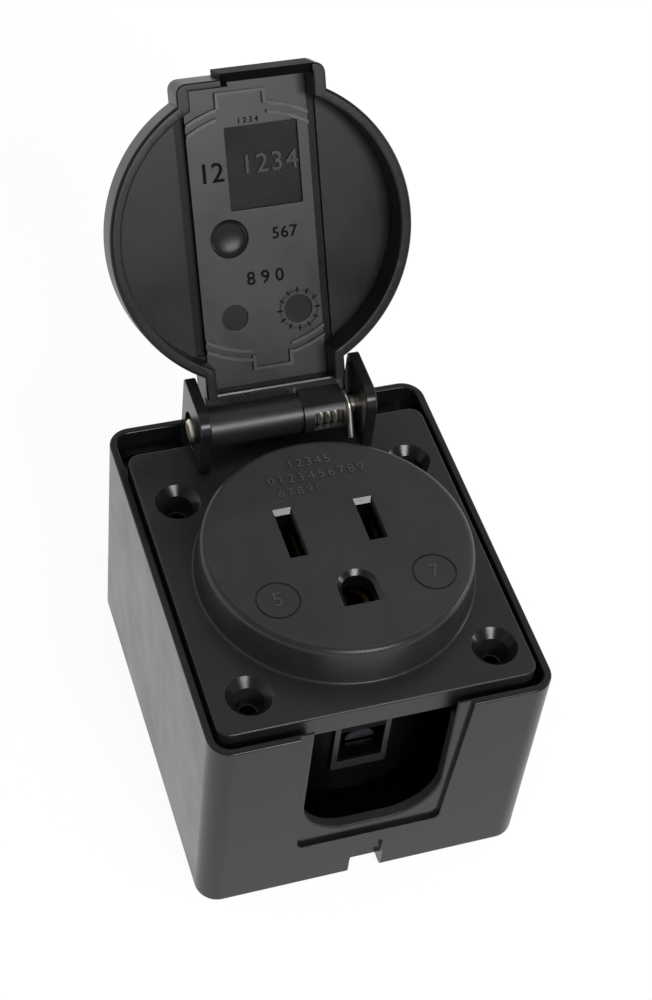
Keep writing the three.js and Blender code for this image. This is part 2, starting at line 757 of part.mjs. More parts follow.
// The tube is laid ring by ring, so that the steps fall eight to a turn and once at each leg's end
function wireTube(points, radius, sides) {
  const positions = [];
  const indices = [];
  const axis = new THREE.Vector3(1, 0, 0);
  points.forEach((point, i) => {
    const next = points[Math.min(i + 1, points.length - 1)];
    const ahead = next.clone().sub(points[Math.max(i - 1, 0)]).normalize();
    const across = new THREE.Vector3().crossVectors(ahead, axis).normalize();
    const over = new THREE.Vector3().crossVectors(across, ahead).normalize();
    for (let side = 0; side < sides; side += 1) {
      const angle = (side / sides) * 2 * Math.PI;
      const spot = point.clone()
        .addScaledVector(across, radius * Math.cos(angle))
        .addScaledVector(over, radius * Math.sin(angle));
      positions.push(spot.x, spot.y, spot.z);
    }
  });
  for (let ring = 0; ring + 1 < points.length; ring += 1) {
    for (let side = 0; side < sides; side += 1) {
      const a = ring * sides + side;
      const b = ring * sides + ((side + 1) % sides);
      indices.push(a, a + sides, b, b, a + sides, b + sides);
    }
  }
  const last = (points.length - 1) * sides;
  for (let side = 1; side + 1 < sides; side += 1) {
    indices.push(0, side, side + 1);
    indices.push(last, last + side + 1, last + side);
  }
  const geometry = new THREE.BufferGeometry();
  geometry.setAttribute("position", new THREE.Float32BufferAttribute(positions, 3));
  geometry.setIndex(indices);
  return geometry;
}

function springPoints(curve) {
  const steps = springTurns * 8;
  const legStart = curve.getPoint(0);
  const legEnd = curve.getPoint(1);
  const coil = Array.from({ length: steps + 1 }, (_, i) => curve.onCoil(i / steps));
  return [legStart, ...coil, legEnd];
}

// The least gap between stretches of the wire that are more than half a turn apart
function leastGap(curve) {
  const spans = 1199;
  const samples = Array.from({ length: spans + 1 }, (_, i) => curve.getPoint(i / spans));
  const apart = Math.ceil((spans * Math.PI * springCoilRadius) / curve.total);
  let least = Infinity;
  for (let i = 0; i < samples.length; i += 1) {
    for (let j = i + apart; j < samples.length; j += 1) {
      least = Math.min(least, samples[i].distanceTo(samples[j]));
    }
  }
  return least - 2 * springWireRadius;
}

function lidSpring() {
  const curve = new TorsionSpringCurve();
  console.log("least gap between the spring's turns: " + leastGap(curve).toFixed(2) + " mm");
  return solid(wireTube(springPoints(curve), springWireRadius, 5));
}

// Contacts, terminals and carrier. Each terminal is drawn as if it faced +X and is then turned to its side

function turnedAbout(body, angle) {
  const degrees = (angle * 180) / Math.PI;
  return body.rotate([0, 0, degrees]).translate([0, faceY, 0]);
}

function cageOffset({ angle, y }) {
  return angle === 0 ? y - faceY : angle === Math.PI ? faceY - y : 0;
}

function terminalCage(terminal) {
  const across = cageOffset(terminal);
  const half = cageWidth / 2;
  const wayHalf = half - cageWall;
  const body = block(cageInnerRadius, cageOuterRadius, across - half, across + half, cageFootZ, cageTopZ)
    .subtract(block(cageInnerRadius + cageWall, cageOuterRadius - cageWall,
      across - wayHalf, across + wayHalf, cageFootZ - past, cageTopZ + past))
    .subtract(outward(terminalScrewRadius + screwClearance, cageOuterRadius - cageWall - past,
      cageOuterRadius + past, across));
  return turnedAbout(body, terminal.angle);
}

// A round bar that points outwards at the height of the terminal screws
function outward(radius, from, to, across) {
  return crosswise(radius, from, to, across, terminalZ, smallFacets);
}

function terminalScrew(terminal) {
  const across = cageOffset(terminal);
  const headInner = cageOuterRadius + terminalBackOff;
  const headOuter = headInner + terminalHeadHeight;
  const tip = headInner - terminalScrewLength;
  const slot = block(headOuter - driverSlotDepth, headOuter + past, across - terminalHeadRadius - past,
    across + terminalHeadRadius + past, terminalZ - driverSlotWidth / 2, terminalZ + driverSlotWidth / 2);
  const body = joined(
    outward(terminalScrewRadius, tip, headInner + past, across),
    outward(terminalHeadRadius, headInner, headOuter, across),
  ).subtract(slot);
  return turnedAbout(body, terminal.angle);
}

// One spring leaf of a blade contact: upright, bent outwards at the mouth
function leafOutline(side, middle, footZ, topZ) {
  const inner = bladeThickness / 2 - leafPinch;
  const outer = inner + leafThickness;
  const bendZ = topZ - leafFlareLength;
  const leaf = new THREE.Shape();
  const at = (offset) => middle + side * offset;
  leaf.moveTo(at(inner), footZ);
  leaf.lineTo(at(outer), footZ);
  leaf.lineTo(at(outer), bendZ);
  leaf.lineTo(at(outer + leafFlare), topZ);
  leaf.lineTo(at(inner + leafFlare), topZ);
  leaf.lineTo(at(inner), bendZ);
  leaf.lineTo(at(inner), footZ);
  return leaf;
}

// The end of a contact's strip, bent down into the cage, that the wire is clamped against
function clampTab(terminal) {
  const across = cageOffset(terminal);
  const tab = block(tabInnerRadius, tabOuterRadius, across - stripWidth / 2, across + stripWidth / 2,
    cageFootZ + tabFootRise, stripTopZ);
  return turnedAbout(tab, terminal.angle);
}

function bladeContact(terminal, leafWidth) {
  const topZ = carrierTopZ - leafTopGap;
  const leaves = [-1, 1].map((side) => {
    const outline = leafOutline(side, terminal.x, stripFootZ, topZ);
    return frontPrism(outline, terminal.y - leafWidth / 2, terminal.y + leafWidth / 2);
  });
  const side = Math.sign(terminal.x);
  const tip = side * tabOuterRadius;
  const heel = terminal.x - side * (bladeThickness / 2 - leafPinch + leafThickness);
  const strip = block(Math.min(tip, heel), Math.max(tip, heel),
    terminal.y - stripWidth / 2, terminal.y + stripWidth / 2, stripFootZ, stripTopZ);
  return joined(strip, clampTab(terminal), ...leaves);
}

function groundContact(terminal) {
  const topZ = carrierTopZ - leafTopGap;
  const sleeve = upright(groundSleeveRadius, stripFootZ, topZ, 0, groundY, middleFacets)
    .subtract(upright(groundSleeveRadius - groundSleeveWall, stripTopZ, topZ + past,
      0, groundY, middleFacets))
    .subtract(block(-groundSleeveSplit / 2, groundSleeveSplit / 2, groundY - groundSleeveRadius - past,
      groundY + groundSleeveRadius + past, stripTopZ + groundSleeveBand, topZ + past));
  const half = stripWidth / 2;
  const strip = block(-half, half, faceY - tabOuterRadius, groundY, stripFootZ, stripTopZ);
  return joined(sleeve, strip, clampTab(terminal));
}

function contactChamber(terminal) {
  const gap = contactChamberGap;
  const floorZ = stripFootZ - gap;
  if (terminal.name === "ground") {
    return upright(groundSleeveRadius + gap, floorZ, carrierTopZ + past, 0, groundY, middleFacets);
  }
  const halfX = bladeThickness / 2 + leafThickness + leafFlare + gap;
  const halfY = (terminal.name === "neutral" ? neutralLeafWidth : lineLeafWidth) / 2 + gap;
  return block(terminal.x - halfX, terminal.x + halfX, terminal.y - halfY, terminal.y + halfY,
    floorZ, carrierTopZ + past);
}

// The hollows of one terminal: the cage's room, open to the foot for the wire, the way for the contact's
// strip, and the port in which the screw's head stands
function terminalPocket(terminal) {
  const across = cageOffset(terminal);
  const half = cageWidth / 2 + cageGap;
  const room = cageOuterRadius + cageGap;
  const stripHalf = stripWidth / 2 + contactChamberGap;
  const portHalf = portWidth / 2;
  const fromAxis = Math.hypot(terminal.x, terminal.y - faceY);
  const pocket = joined(
    block(cageInnerRadius - cageGap, room, across - half, across + half,
      carrierFootZ - past, cageTopZ + cageGap),
    block(fromAxis / 2, tabOuterRadius + contactChamberGap, across - stripHalf, across + stripHalf,
      stripFootZ - contactChamberGap, stripTopZ + contactChamberGap),
    outward(terminalScrewRadius + screwClearance, room - past, room + portBackWall + past, across),
    block(room + portBackWall, towerReach + past, across - portHalf, across + portHalf,
      terminalZ - portHeight / 2, terminalZ + portHeight / 2),
  );
  return turnedAbout(pocket, terminal.angle);
}

// The flat-fronted tower round one terminal's port
function terminalTower(terminal) {
  const across = cageOffset(terminal);
  const half = portWidth / 2 + towerWall;
  const footZ = terminalZ - portHeight / 2 - towerFootWall;
  const topZ = ledgeZ - carrierFaceGap;
  const tower = block(cageOuterRadius, towerReach, across - half, across + half, footZ, topZ);
  return turnedAbout(tower, terminal.angle);
}

function contactCarrier() {
  const plug = faceBoreRadius - carrierBoreGap;
  const body = turned([
    [0, carrierFootZ],
    [carrierRadius, carrierFootZ],
    [carrierRadius, ledgeZ - carrierFaceGap],
    [plug, ledgeZ - carrierFaceGap],
    [plug, carrierTopZ],
    [0, carrierTopZ],
  ], 0, faceY, 64);
  const pillarFootZ = faceTopZ - faceThickness - pillarLength;
  const screwCuts = [-1, 1].flatMap((side) => [
    upright(pillarRadius + pillarGap, pillarFootZ - pillarGap, carrierTopZ + past, side * pillarX, pillarY),
    upright(carrierScrewRadius + screwClearance, carrierFootZ - past, carrierTopZ, side * pillarX, pillarY),
    upright(carrierHeadRadius + screwClearance, carrierFootZ - past,
      carrierFootZ + carrierHeadHeight + headSink, side * pillarX, pillarY),
  ]);
  const solidCarrier = joined(body, ...terminals.map(terminalTower));
  return [...terminals.map(contactChamber), ...terminals.map(terminalPocket), ...screwCuts].reduce(
    (whole, cut) => whole.subtract(cut), solidCarrier);
}

function carrierScrew(side) {
  const headFootZ = carrierFootZ + headSink - screwClearance;
  const headTopZ = headFootZ + carrierHeadHeight;
  const tipZ = faceTopZ - faceThickness - pillarLength + carrierScrewBite;
  const x = side * pillarX;
  return joined(
    upright(carrierScrewRadius, headTopZ - past, tipZ, x, pillarY),
    upright(carrierHeadRadius, headFootZ, headTopZ, x, pillarY),
  )
    .subtract(block(x - driverSlotWidth / 2, x + driverSlotWidth / 2, pillarY - carrierHeadRadius / 1.6,
      pillarY + carrierHeadRadius / 1.6, headFootZ - past, headFootZ + driverSlotDepth))
    .subtract(block(x - carrierHeadRadius / 1.6, x + carrierHeadRadius / 1.6, pillarY - driverSlotWidth / 2,
      pillarY + driverSlotWidth / 2, headFootZ - past, headFootZ + driverSlotDepth));
}

// Assembly

const outlet = new THREE.Group();
outlet.name = "socket_outlet";

const hinge = new THREE.Group();
hinge.position.set(0, hingeY, hingeZ);
outlet.add(hinge);

const opened = new THREE.Group();
opened.rotation.x = (-lidOpenAngle * Math.PI) / 180;
hinge.add(opened);

outlet.add(meshOf("surface_box", surfaceBox(), finishes.boxPlastic));
outlet.add(meshOf("socket_housing", socketHousing(), finishes.housingPlastic));
outlet.add(meshOf("contact_carrier", contactCarrier(), finishes.carrierPlastic));
for (const terminal of terminals) {
  const contact = terminal.name === "ground"
    ? groundContact(terminal)
    : bladeContact(terminal, terminal.name === "neutral" ? neutralLeafWidth : lineLeafWidth);
  outlet.add(meshOf(terminal.name + "_contact", contact, finishes.brass));
  outlet.add(meshOf(terminal.name + "_terminal_cage", terminalCage(terminal), finishes.platedSteel));
  outlet.add(meshOf(terminal.name + "_terminal_screw", terminalScrew(terminal), finishes.platedSteel));
}
outlet.add(meshOf("carrier_screw_left", carrierScrew(-1), finishes.platedSteel));
outlet.add(meshOf("carrier_screw_right", carrierScrew(1), finishes.platedSteel));
hinge.add(meshOf("hinge_pin", hingePin(), finishes.springSteel));
hinge.add(meshOf("lid_spring", lidSpring(), finishes.springSteel));
opened.add(meshOf("lid", lid(), finishes.lidPlastic));

export default outlet;
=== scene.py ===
"""A grounded socket outlet with a sprung lid, laid in its surface box, as a Blender scene.

Sizes are in millimetres in the object's own frame: +X to the right of someone who faces the cable
entry, +Y from the entry to the hinge, +Z the way the socket faces. Each finished piece is a mesh in
metres whose object stays at the origin.
"""

import json
import logging
import math
from collections.abc import Callable, Iterable, Sequence
from dataclasses import dataclass, field
from enum import Enum

import bmesh
import bpy
from mathutils import Matrix, Vector

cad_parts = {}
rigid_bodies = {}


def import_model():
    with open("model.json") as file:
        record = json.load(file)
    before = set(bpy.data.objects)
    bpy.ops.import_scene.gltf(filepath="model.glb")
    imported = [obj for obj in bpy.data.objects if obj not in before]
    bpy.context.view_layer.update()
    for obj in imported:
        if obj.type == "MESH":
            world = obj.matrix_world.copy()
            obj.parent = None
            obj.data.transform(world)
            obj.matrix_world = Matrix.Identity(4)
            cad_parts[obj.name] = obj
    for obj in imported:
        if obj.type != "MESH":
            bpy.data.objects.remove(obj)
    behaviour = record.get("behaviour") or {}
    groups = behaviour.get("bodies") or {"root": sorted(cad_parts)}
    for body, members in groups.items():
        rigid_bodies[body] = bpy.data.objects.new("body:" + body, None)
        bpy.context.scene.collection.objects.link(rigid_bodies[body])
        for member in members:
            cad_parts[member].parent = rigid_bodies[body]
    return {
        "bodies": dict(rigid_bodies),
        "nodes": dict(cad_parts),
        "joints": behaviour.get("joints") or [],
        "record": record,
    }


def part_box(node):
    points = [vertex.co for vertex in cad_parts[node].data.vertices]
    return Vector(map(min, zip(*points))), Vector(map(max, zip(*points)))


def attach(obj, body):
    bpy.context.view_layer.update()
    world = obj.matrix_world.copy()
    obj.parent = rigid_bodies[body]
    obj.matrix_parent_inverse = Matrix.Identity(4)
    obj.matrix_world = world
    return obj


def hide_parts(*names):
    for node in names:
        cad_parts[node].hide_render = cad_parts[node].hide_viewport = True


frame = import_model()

log = logging.getLogger("socket_outlet")

MM = 0.001
PAST = 1.0  # how far a cutting solid runs past the face that it cuts
OVERLAP = 0.1  # how far a part runs into the one that it joins
SLIP = 0.01  # how far apart two faces are kept that would otherwise lie in one plane
SLACK = 0.1  # how far off its place a face's middle may lie in a test of where the face is
LEAST_RADIUS = 1e-6  # a smaller ring is taken as one point
LEAST_BEND = 0.35  # keeps moved_in from throwing a sharp corner far out
LARGE_FACE_PULL = 80  # how strongly large faces steer the shading, out of 100

Material = bpy.types.Material
Socket = bpy.types.NodeSocket
Point = tuple[float, float]
Outline = list[Point]
Ring = list[Vector]
Test = Callable[[Vector], bool]  # whether a face's middle lies in some place
Region = tuple[Material, Test]


class Axis(Enum):
    """The direction in which an outline is drawn out into a solid."""

    X = "x"  # the outline is drawn as (y, z)
    Y = "y"  # the outline is drawn as (x, z)
    Z = "z"  # the outline is drawn as (x, y)

    def place(self, u: float, v: float, w: float) -> Vector:
        """Returns the point at (u, v) on the outline and w along the axis.

        Args:
            u: The outline's first coordinate.
            v: Its second coordinate.
            w: How far the point lies along the axis.

        Returns:
            The point.
        """
        if self is Axis.X:
            return Vector((w, u, v))
        if self is Axis.Y:
            return Vector((u, w, v))
        return Vector((u, v, w))


class Body(Enum):
    """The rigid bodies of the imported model."""

    SOCKET = "socket"
    LID = "lid"


# Outlines


def arc(centre: Point, radius: float, start: float, end: float, steps: int) -> Outline:
    """Draws an arc.

    Args:
        centre: The arc's centre.
        radius: Its radius.
        start: The first angle, in degrees.
        end: The last angle, in degrees.
        steps: How many chords it has.

    Returns:
        The points from start to end, both included.
    """
    angles = [math.radians(start + (end - start) * i / steps) for i in range(steps + 1)]
    return [(centre[0] + radius * math.cos(a), centre[1] + radius * math.sin(a)) for a in angles]


def rounded_rectangle(low: Point, high: Point, radii: float | Sequence[float], steps: int = 8) -> Outline:
    """Draws a rectangle with rounded corners.

    Args:
        low: Its lowest corner.
        high: Its highest corner.
        radii: One radius, or four from the lowest corner anticlockwise.
        steps: How many chords each corner has.

    Returns:
        The outline, anticlockwise.
    """
    each = [radii] * 4 if isinstance(radii, (int, float)) else list(radii)
    corners = [(low[0], low[1], 180), (high[0], low[1], 270), (high[0], high[1], 0), (low[0], high[1], 90)]
    outline: Outline = []
    for (x, y, start), radius in zip(corners, each):
        inward_x = radius if x == low[0] else -radius
        inward_y = radius if y == low[1] else -radius
        if radius > 0:
            outline += arc((x + inward_x, y + inward_y), radius, start, start + 90, steps)
        else:
            outline.append((x, y))
    return outline


def circle(centre: Point, radius: float, steps: int = 64) -> Outline:
    """Draws a full circle as a closed outline."""
    return arc(centre, radius, 0, 360, steps)[:-1]


def moved_in(outline: Outline, distance: float) -> Outline:
    """Moves each side of an anticlockwise outline inwards.

    Args:
        outline: The outline.
        distance: How far its sides move; a negative distance moves them outwards.

    Returns:
        The moved outline, with as many points.
    """
    if not distance:
        return list(outline)
    moved: Outline = []
    count = len(outline)
    for i, here in enumerate(outline):
        before = Vector(outline[i - 1])
        point = Vector(here)
        after = Vector(outline[(i + 1) % count])
        first = (point - before).normalized()
        second = (after - point).normalized()
        normal_one = Vector((-first.y, first.x))
        normal_two = Vector((-second.y, second.x))
        across = normal_one + normal_two
        across *= distance / max(LEAST_BEND, across.dot(normal_one))
        moved.append((point.x + across.x, point.y + across.y))
    return moved


def edge_layers(start: float, end: float, low_edge: float, high_edge: float, steps: int = 4) -> list[Point]:
    """Lists how far a drawn-out solid's sides stand in near its ends, for rounded edges.

    Args:
        start: Where the solid starts along its axis.
        end: Where it ends.
        low_edge: The rounding's radius at the start, negative for a flared mouth.
        high_edge: The rounding's radius at the end.
        steps: How many chords each rounding has.

    Returns:
        Pairs of how far in the sides stand, and where.
    """
    layers: list[Point] = []
    if low_edge:
        radius = abs(low_edge)
        for i in range(steps + 1):
            angle = math.radians(90 * i / steps)
            layers.append((low_edge * (1 - math.sin(angle)), start + radius * (1 - math.cos(angle))))
    else:
        layers.append((0.0, start))
    if high_edge:
        radius = abs(high_edge)
        for i in range(steps + 1):
            angle = math.radians(90 * i / steps)
            layers.append((high_edge * (1 - math.cos(angle)), end - radius * (1 - math.sin(angle))))
    else:
        layers.append((0.0, end))
    return layers


# Solids


class Solid:
    """A closed mesh in the making, in millimetres."""

    def __init__(self, rings: Sequence[Ring] = ()) -> None:
        """Skins a closed solid over rings of equal length, with a cap at each end.

        Args:
            rings: The rings, each a list of points; a ring of one point closes an end.
        """
        mesh = bpy.data.meshes.new("work")
        if rings:
            work = bmesh.new()
            rows = [[work.verts.new(point) for point in ring] for ring in rings]
            for lower, upper in zip(rows, rows[1:]):
                self._skin(work, lower, upper)
            for row in (rows[0], rows[-1]):
                if len(row) > 2:
                    work.faces.new(row)
            bmesh.ops.recalc_face_normals(work, faces=work.faces)
            work.to_mesh(mesh)
            work.free()
        self.object = bpy.data.objects.new("work", mesh)
        bpy.context.scene.collection.objects.link(self.object)

    @staticmethod
    def _skin(work: bmesh.types.BMesh, lower: list, upper: list) -> None:
        """Closes the band between two rings, either of which may be one point.

        Args:
            work: The mesh in the making.
            lower: The corners of one ring.
            upper: The corners of the next.
        """
        count = max(len(lower), len(upper))
        for i in range(count):
            corners = []
            for row, k in ((lower, i), (lower, i + 1), (upper, i + 1), (upper, i)):
                corner = row[k % len(row)]
                if corner not in corners:
                    corners.append(corner)
            if len(corners) > 2:
                work.faces.new(corners)

    def apply(self) -> "Solid":
        """Takes the modifiers' result as the mesh."""
        graph = bpy.context.evaluated_depsgraph_get()
        result = bpy.data.meshes.new_from_object(self.object.evaluated_get(graph))
        spent = self.object.data
        self.object.modifiers.clear()
        self.object.data = result
        bpy.data.meshes.remove(spent)
        return self

    def _combine(self, others: Iterable["Solid"], operation: str) -> "Solid":
        """Runs one exact boolean with each of the others, and discards them.

        Args:
            others: The solids that this one meets.
            operation: The boolean's name.

        Returns:
            This solid.
        """
        for other in others:
            modifier = self.object.modifiers.new("combine", "BOOLEAN")
            modifier.operation = operation
            modifier.solver = "EXACT"
            modifier.object = other.object
            self.apply()
            other.discard()
        return self

    def join(self, *others: "Solid") -> "Solid":
        """Adds the other solids to this one."""
        return self._combine(others, "UNION")

    def cut(self, *others: "Solid") -> "Solid":
        """Cuts the other solids out of this one."""
        return self._combine(others, "DIFFERENCE")

    def keep(self, other: "Solid") -> "Solid":
        """Keeps only what lies in the other solid."""
        return self._combine([other], "INTERSECT")

    def take(self, *others: "Solid") -> "Solid":
        """Adds the other solids as they are, without a boolean, and discards them.

        Args:
            others: The solids to add.

        Returns:
            This solid.
        """
        work = bmesh.new()
        work.from_mesh(self.object.data)
        for other in others:
            work.from_mesh(other.object.data)
            other.discard()
        work.to_mesh(self.object.data)
        work.free()
        return self

    def place(self, matrix: Matrix) -> "Solid":
        """Moves the mesh."""
        self.object.data.transform(matrix)
        return self

    def discard(self) -> None:
        """Removes the working object."""
        spent = self.object.data
        bpy.data.objects.remove(self.object)
        bpy.data.meshes.remove(spent)

    def finish(self, name: str, material: Material, smooth_angle: float = 34.0,
               regions: Sequence["Region"] = ()) -> bpy.types.Object:
        """Turns the solid into a finished piece, in metres.

        Args:
            name: The piece's name.
            material: Its main finish.
            smooth_angle: The angle up to which faces are shaded as one surface, in degrees.
            regions: Other finishes, each with a test of a face's middle, in millimetres.

        Returns:
            The piece's object, at the origin.
        """
        mesh = self.object.data
        mesh.materials.clear()
        mesh.materials.append(material)
        for other, _ in regions:
            mesh.materials.append(other)
        for polygon in mesh.polygons:
            polygon.material_index = 0
            for index, (_, holds) in enumerate(regions, 1):
                if holds(polygon.center):
                    polygon.material_index = index
        mesh.transform(Matrix.Scale(MM, 4))
        mesh.shade_smooth()
        mesh.set_sharp_from_angle(angle=math.radians(smooth_angle))
        mesh.name = name
        self.object.name = name
        weighted = self.object.modifiers.new("weighted", "WEIGHTED_NORMAL")
        weighted.keep_sharp = True
        weighted.weight = LARGE_FACE_PULL
        self.apply()
        self.object.data.name = name
        log.info("%s: %d faces", name, len(self.object.data.polygons))
        return self.object


def drawn_out(outline: Outline, axis: Axis, start: float, end: float, low_edge: float = 0.0,
              high_edge: float = 0.0, steps: int = 4) -> Solid:
    """Draws an outline out into a solid.

    Args:
        outline: The outline, anticlockwise.
        axis: The direction.
        start: Where the solid starts along it.
        end: Where it ends.
        low_edge: The rounding at the start.
        high_edge: The rounding at the end.
        steps: How many chords each rounding has.

    Returns:
        The solid.
    """
    rings = []
    for inset, along in edge_layers(start, end, low_edge, high_edge, steps):
        rings.append([axis.place(u, v, along) for u, v in moved_in(outline, inset)])
    return Solid(rings)


def turned(profile: Iterable[Point], centre: Point, steps: int = 144) -> Solid:
    """Turns a profile about an upright line.

    Args:
        profile: Radius and height, upwards along the outside.
        centre: Where the line stands.
        steps: How many chords a full turn has.

    Returns:
        The solid.
    """
    rings = []
    for radius, z in profile:
        if radius < LEAST_RADIUS:
            rings.append([Vector((centre[0], centre[1], z))])
        else:
            rings.append([Vector((x, y, z)) for x, y in circle(centre, radius, steps)])
    return Solid(rings)


def block(low: Sequence[float], high: Sequence[float], edge: float = 0.0) -> Solid:
    """Makes a block between two corners, with its upright edges rounded by edge."""
    outline = rounded_rectangle((low[0], low[1]), (high[0], high[1]), edge, steps=3)
    return drawn_out(outline, Axis.Z, low[2], high[2])


def rod(axis: Axis, centre: Point, radius: float, start: float, end: float, steps: int = 48,
        edge: float = 0.0) -> Solid:
    """Makes a round bar along an axis, with both ends rounded by edge."""
    return drawn_out(circle(centre, radius, steps), axis, start, end, edge, edge, steps=3)


def opening(outline: Outline, axis: Axis, inner: float, mouth: float, flare: float, depth: float = 0.0,
            steps: int = 4) -> Solid:
    """Makes the solid that cuts a hole with a rounded or flared mouth.

    Args:
        outline: The hole's outline, anticlockwise.
        axis: The direction in which the hole runs.
        inner: Where the cut ends inside.
        mouth: Where the face lies that the hole opens in.
        flare: How much wider each side is at the mouth.
        depth: How deep the flare is, if not as deep as it is wide.
        steps: How many chords the rounding has; one makes it straight.

    Returns:
        The cutting solid.
    """
    outward = 1.0 if mouth > inner else -1.0
    depth = depth or flare
    rings = [[axis.place(u, v, inner) for u, v in outline]]
    for i in range(steps + 1):
        angle = math.radians(90 * i / steps)
        wider = moved_in(outline, -flare * (1 - math.cos(angle)))
        along = mouth - outward * depth * (1 - math.sin(angle))
        rings.append([axis.place(u, v, along) for u, v in wider])
    rings.append([axis.place(u, v, mouth + outward * PAST) for u, v in moved_in(outline, -flare)])
    return Solid(rings)


def ring_groove(centre: Point, radius: float, width: float, top: float, depth: float,
                steps: int = 96) -> Solid:
    """Makes the solid that cuts or forms a round ring in a level face.

    Args:
        centre: The ring's centre.
        radius: Its middle radius.
        width: Its width.
        top: The height of its upper end.
        depth: Its height.
        steps: How many chords it has.

    Returns:
        The ring.
    """
    outer = rod(Axis.Z, centre, radius + width / 2, top - depth, top, steps)
    return outer.cut(rod(Axis.Z, centre, radius - width / 2, top - depth - PAST, top + PAST, steps))


# What repeats or follows a path


def add_node(tree: bpy.types.NodeTree, kind: str, inputs: dict | None, settings: dict) -> bpy.types.Node:
    """Adds a node to a tree.

    Args:
        tree: The tree.
        kind: The node's type.
        inputs: What goes into its sockets, by name or number: a value, or another node's output.
        settings: The node's own settings, by name.

    Returns:
        The node.
    """
    node = tree.nodes.new(kind)
    for name, value in settings.items():
        setattr(node, name, value)
    for name, value in (inputs or {}).items():
        if isinstance(value, Socket):
            tree.links.new(value, node.inputs[name])
        else:
            node.inputs[name].default_value = value
    return node


class Recipe:
    """A geometry-node tree in the making, with its sizes as named inputs."""

    def __init__(self, name: str) -> None:
        """Starts the tree with its geometry sockets.

        Args:
            name: The tree's name.
        """
        self.tree = bpy.data.node_groups.new(name, "GeometryNodeTree")
        self.tree.interface.new_socket("Geometry", in_out="INPUT", socket_type="NodeSocketGeometry")
        self.tree.interface.new_socket("Geometry", in_out="OUTPUT", socket_type="NodeSocketGeometry")
        self.entry = self.tree.nodes.new("NodeGroupInput")
        self.exit = self.tree.nodes.new("NodeGroupOutput")
        self.values: dict[str, object] = {}

    @property
    def start(self) -> Socket:
        """The geometry that the tree is given."""
        return self.entry.outputs["Geometry"]

    def size(self, name: str, value: object, kind: str = "NodeSocketFloat") -> Socket:
        """Adds a named input.

        Args:
            name: The input's name.
            value: What it is set to.
            kind: Its socket type.

        Returns:
            The socket inside the tree.
        """
        socket = self.tree.interface.new_socket(name, in_out="INPUT", socket_type=kind)
        self.values[socket.identifier] = value
        return self.entry.outputs[name]

    def add(self, kind: str, inputs: dict | None = None, **settings: object) -> bpy.types.Node:
        """Adds a node to the tree, with its inputs and settings."""
        return add_node(self.tree, kind, inputs, settings)

    def grow(self, geometry: Socket, material: Material,
             points: Sequence[Vector], joined: bool = False, turns: Sequence[float] = ()) -> "Solid":
        """Ends the tree and runs it on a set of points.

        Args:
            geometry: The tree's result.
            material: Its finish.
            points: The points that the tree starts from.
            joined: Whether the points are joined in a line.
            turns: How far each point's copy is turned about the upright line, in radians.

        Returns:
            The result as a plain mesh.
        """
        real = self.add("GeometryNodeRealizeInstances", {"Geometry": geometry})
        dressed = self.add("GeometryNodeSetMaterial", {
            "Geometry": real.outputs["Geometry"], "Material": material})
        self.tree.links.new(dressed.outputs["Geometry"], self.exit.inputs["Geometry"])
        grown = Solid()
        edges = [(i, i + 1) for i in range(len(points) - 1)] if joined else []
        grown.object.data.from_pydata([tuple(point) for point in points], edges, [])
        if turns:
            attribute = grown.object.data.attributes.new("turn", "FLOAT", "POINT")
            attribute.data.foreach_set("value", list(turns))
        modifier = grown.object.modifiers.new("recipe", "NODES")
        modifier.node_group = self.tree
        for identifier, value in self.values.items():
            modifier[identifier] = value
        return grown.apply()


def wire_along(points: Sequence[Vector], radius: float, material: Material, name: str,
               sides: int = 14) -> Solid:
    """Draws a round wire along a line.

    Args:
        points: The line.
        radius: The wire's radius.
        material: Its finish.
        name: The tree's name.
        sides: How many sides the wire has.

    Returns:
        The wire.
    """
    recipe = Recipe(name)
    wire_radius = recipe.size("Wire Radius", radius)
    wire_sides = recipe.size("Wire Sides", sides, "NodeSocketInt")
    line = recipe.add("GeometryNodeMeshToCurve", {"Mesh": recipe.start})
    section = recipe.add("GeometryNodeCurvePrimitiveCircle", {
        "Resolution": wire_sides, "Radius": wire_radius})
    tube = recipe.add("GeometryNodeCurveToMesh", {
        "Curve": line.outputs["Curve"], "Profile Curve": section.outputs["Curve"], "Fill Caps": True})
    return recipe.grow(tube.outputs["Mesh"], material, points, joined=True)


def copies_of(part: Solid, places: Sequence[Vector], turns: Sequence[float], material: Material,
              name: str) -> Solid:
    """Stands copies of a part on points.

    Args:
        part: The part, drawn about the origin; it is used up.
        places: Where the copies stand.
        turns: How far each is turned about the upright line, in radians.
        material: Their finish.
        name: The tree's name.

    Returns:
        All the copies as one mesh.
    """
    recipe = Recipe(name)
    source = recipe.size("Part", part.object, "NodeSocketObject")
    size = recipe.size("Part Scale", 1.0)
    info = recipe.add("GeometryNodeObjectInfo", {"Object": source}, transform_space="ORIGINAL")
    turn = recipe.add("GeometryNodeInputNamedAttribute", {"Name": "turn"}, data_type="FLOAT")
    angles = recipe.add("ShaderNodeCombineXYZ", {"Z": turn.outputs["Attribute"]})
    stood = recipe.add("GeometryNodeInstanceOnPoints", {
        "Points": recipe.start, "Instance": info.outputs["Geometry"], "Rotation": angles.outputs["Vector"],
        "Scale": size})
    grown = recipe.grow(stood.outputs["Instances"], material, places, turns=turns)
    part.discard()
    return grown


# Materials


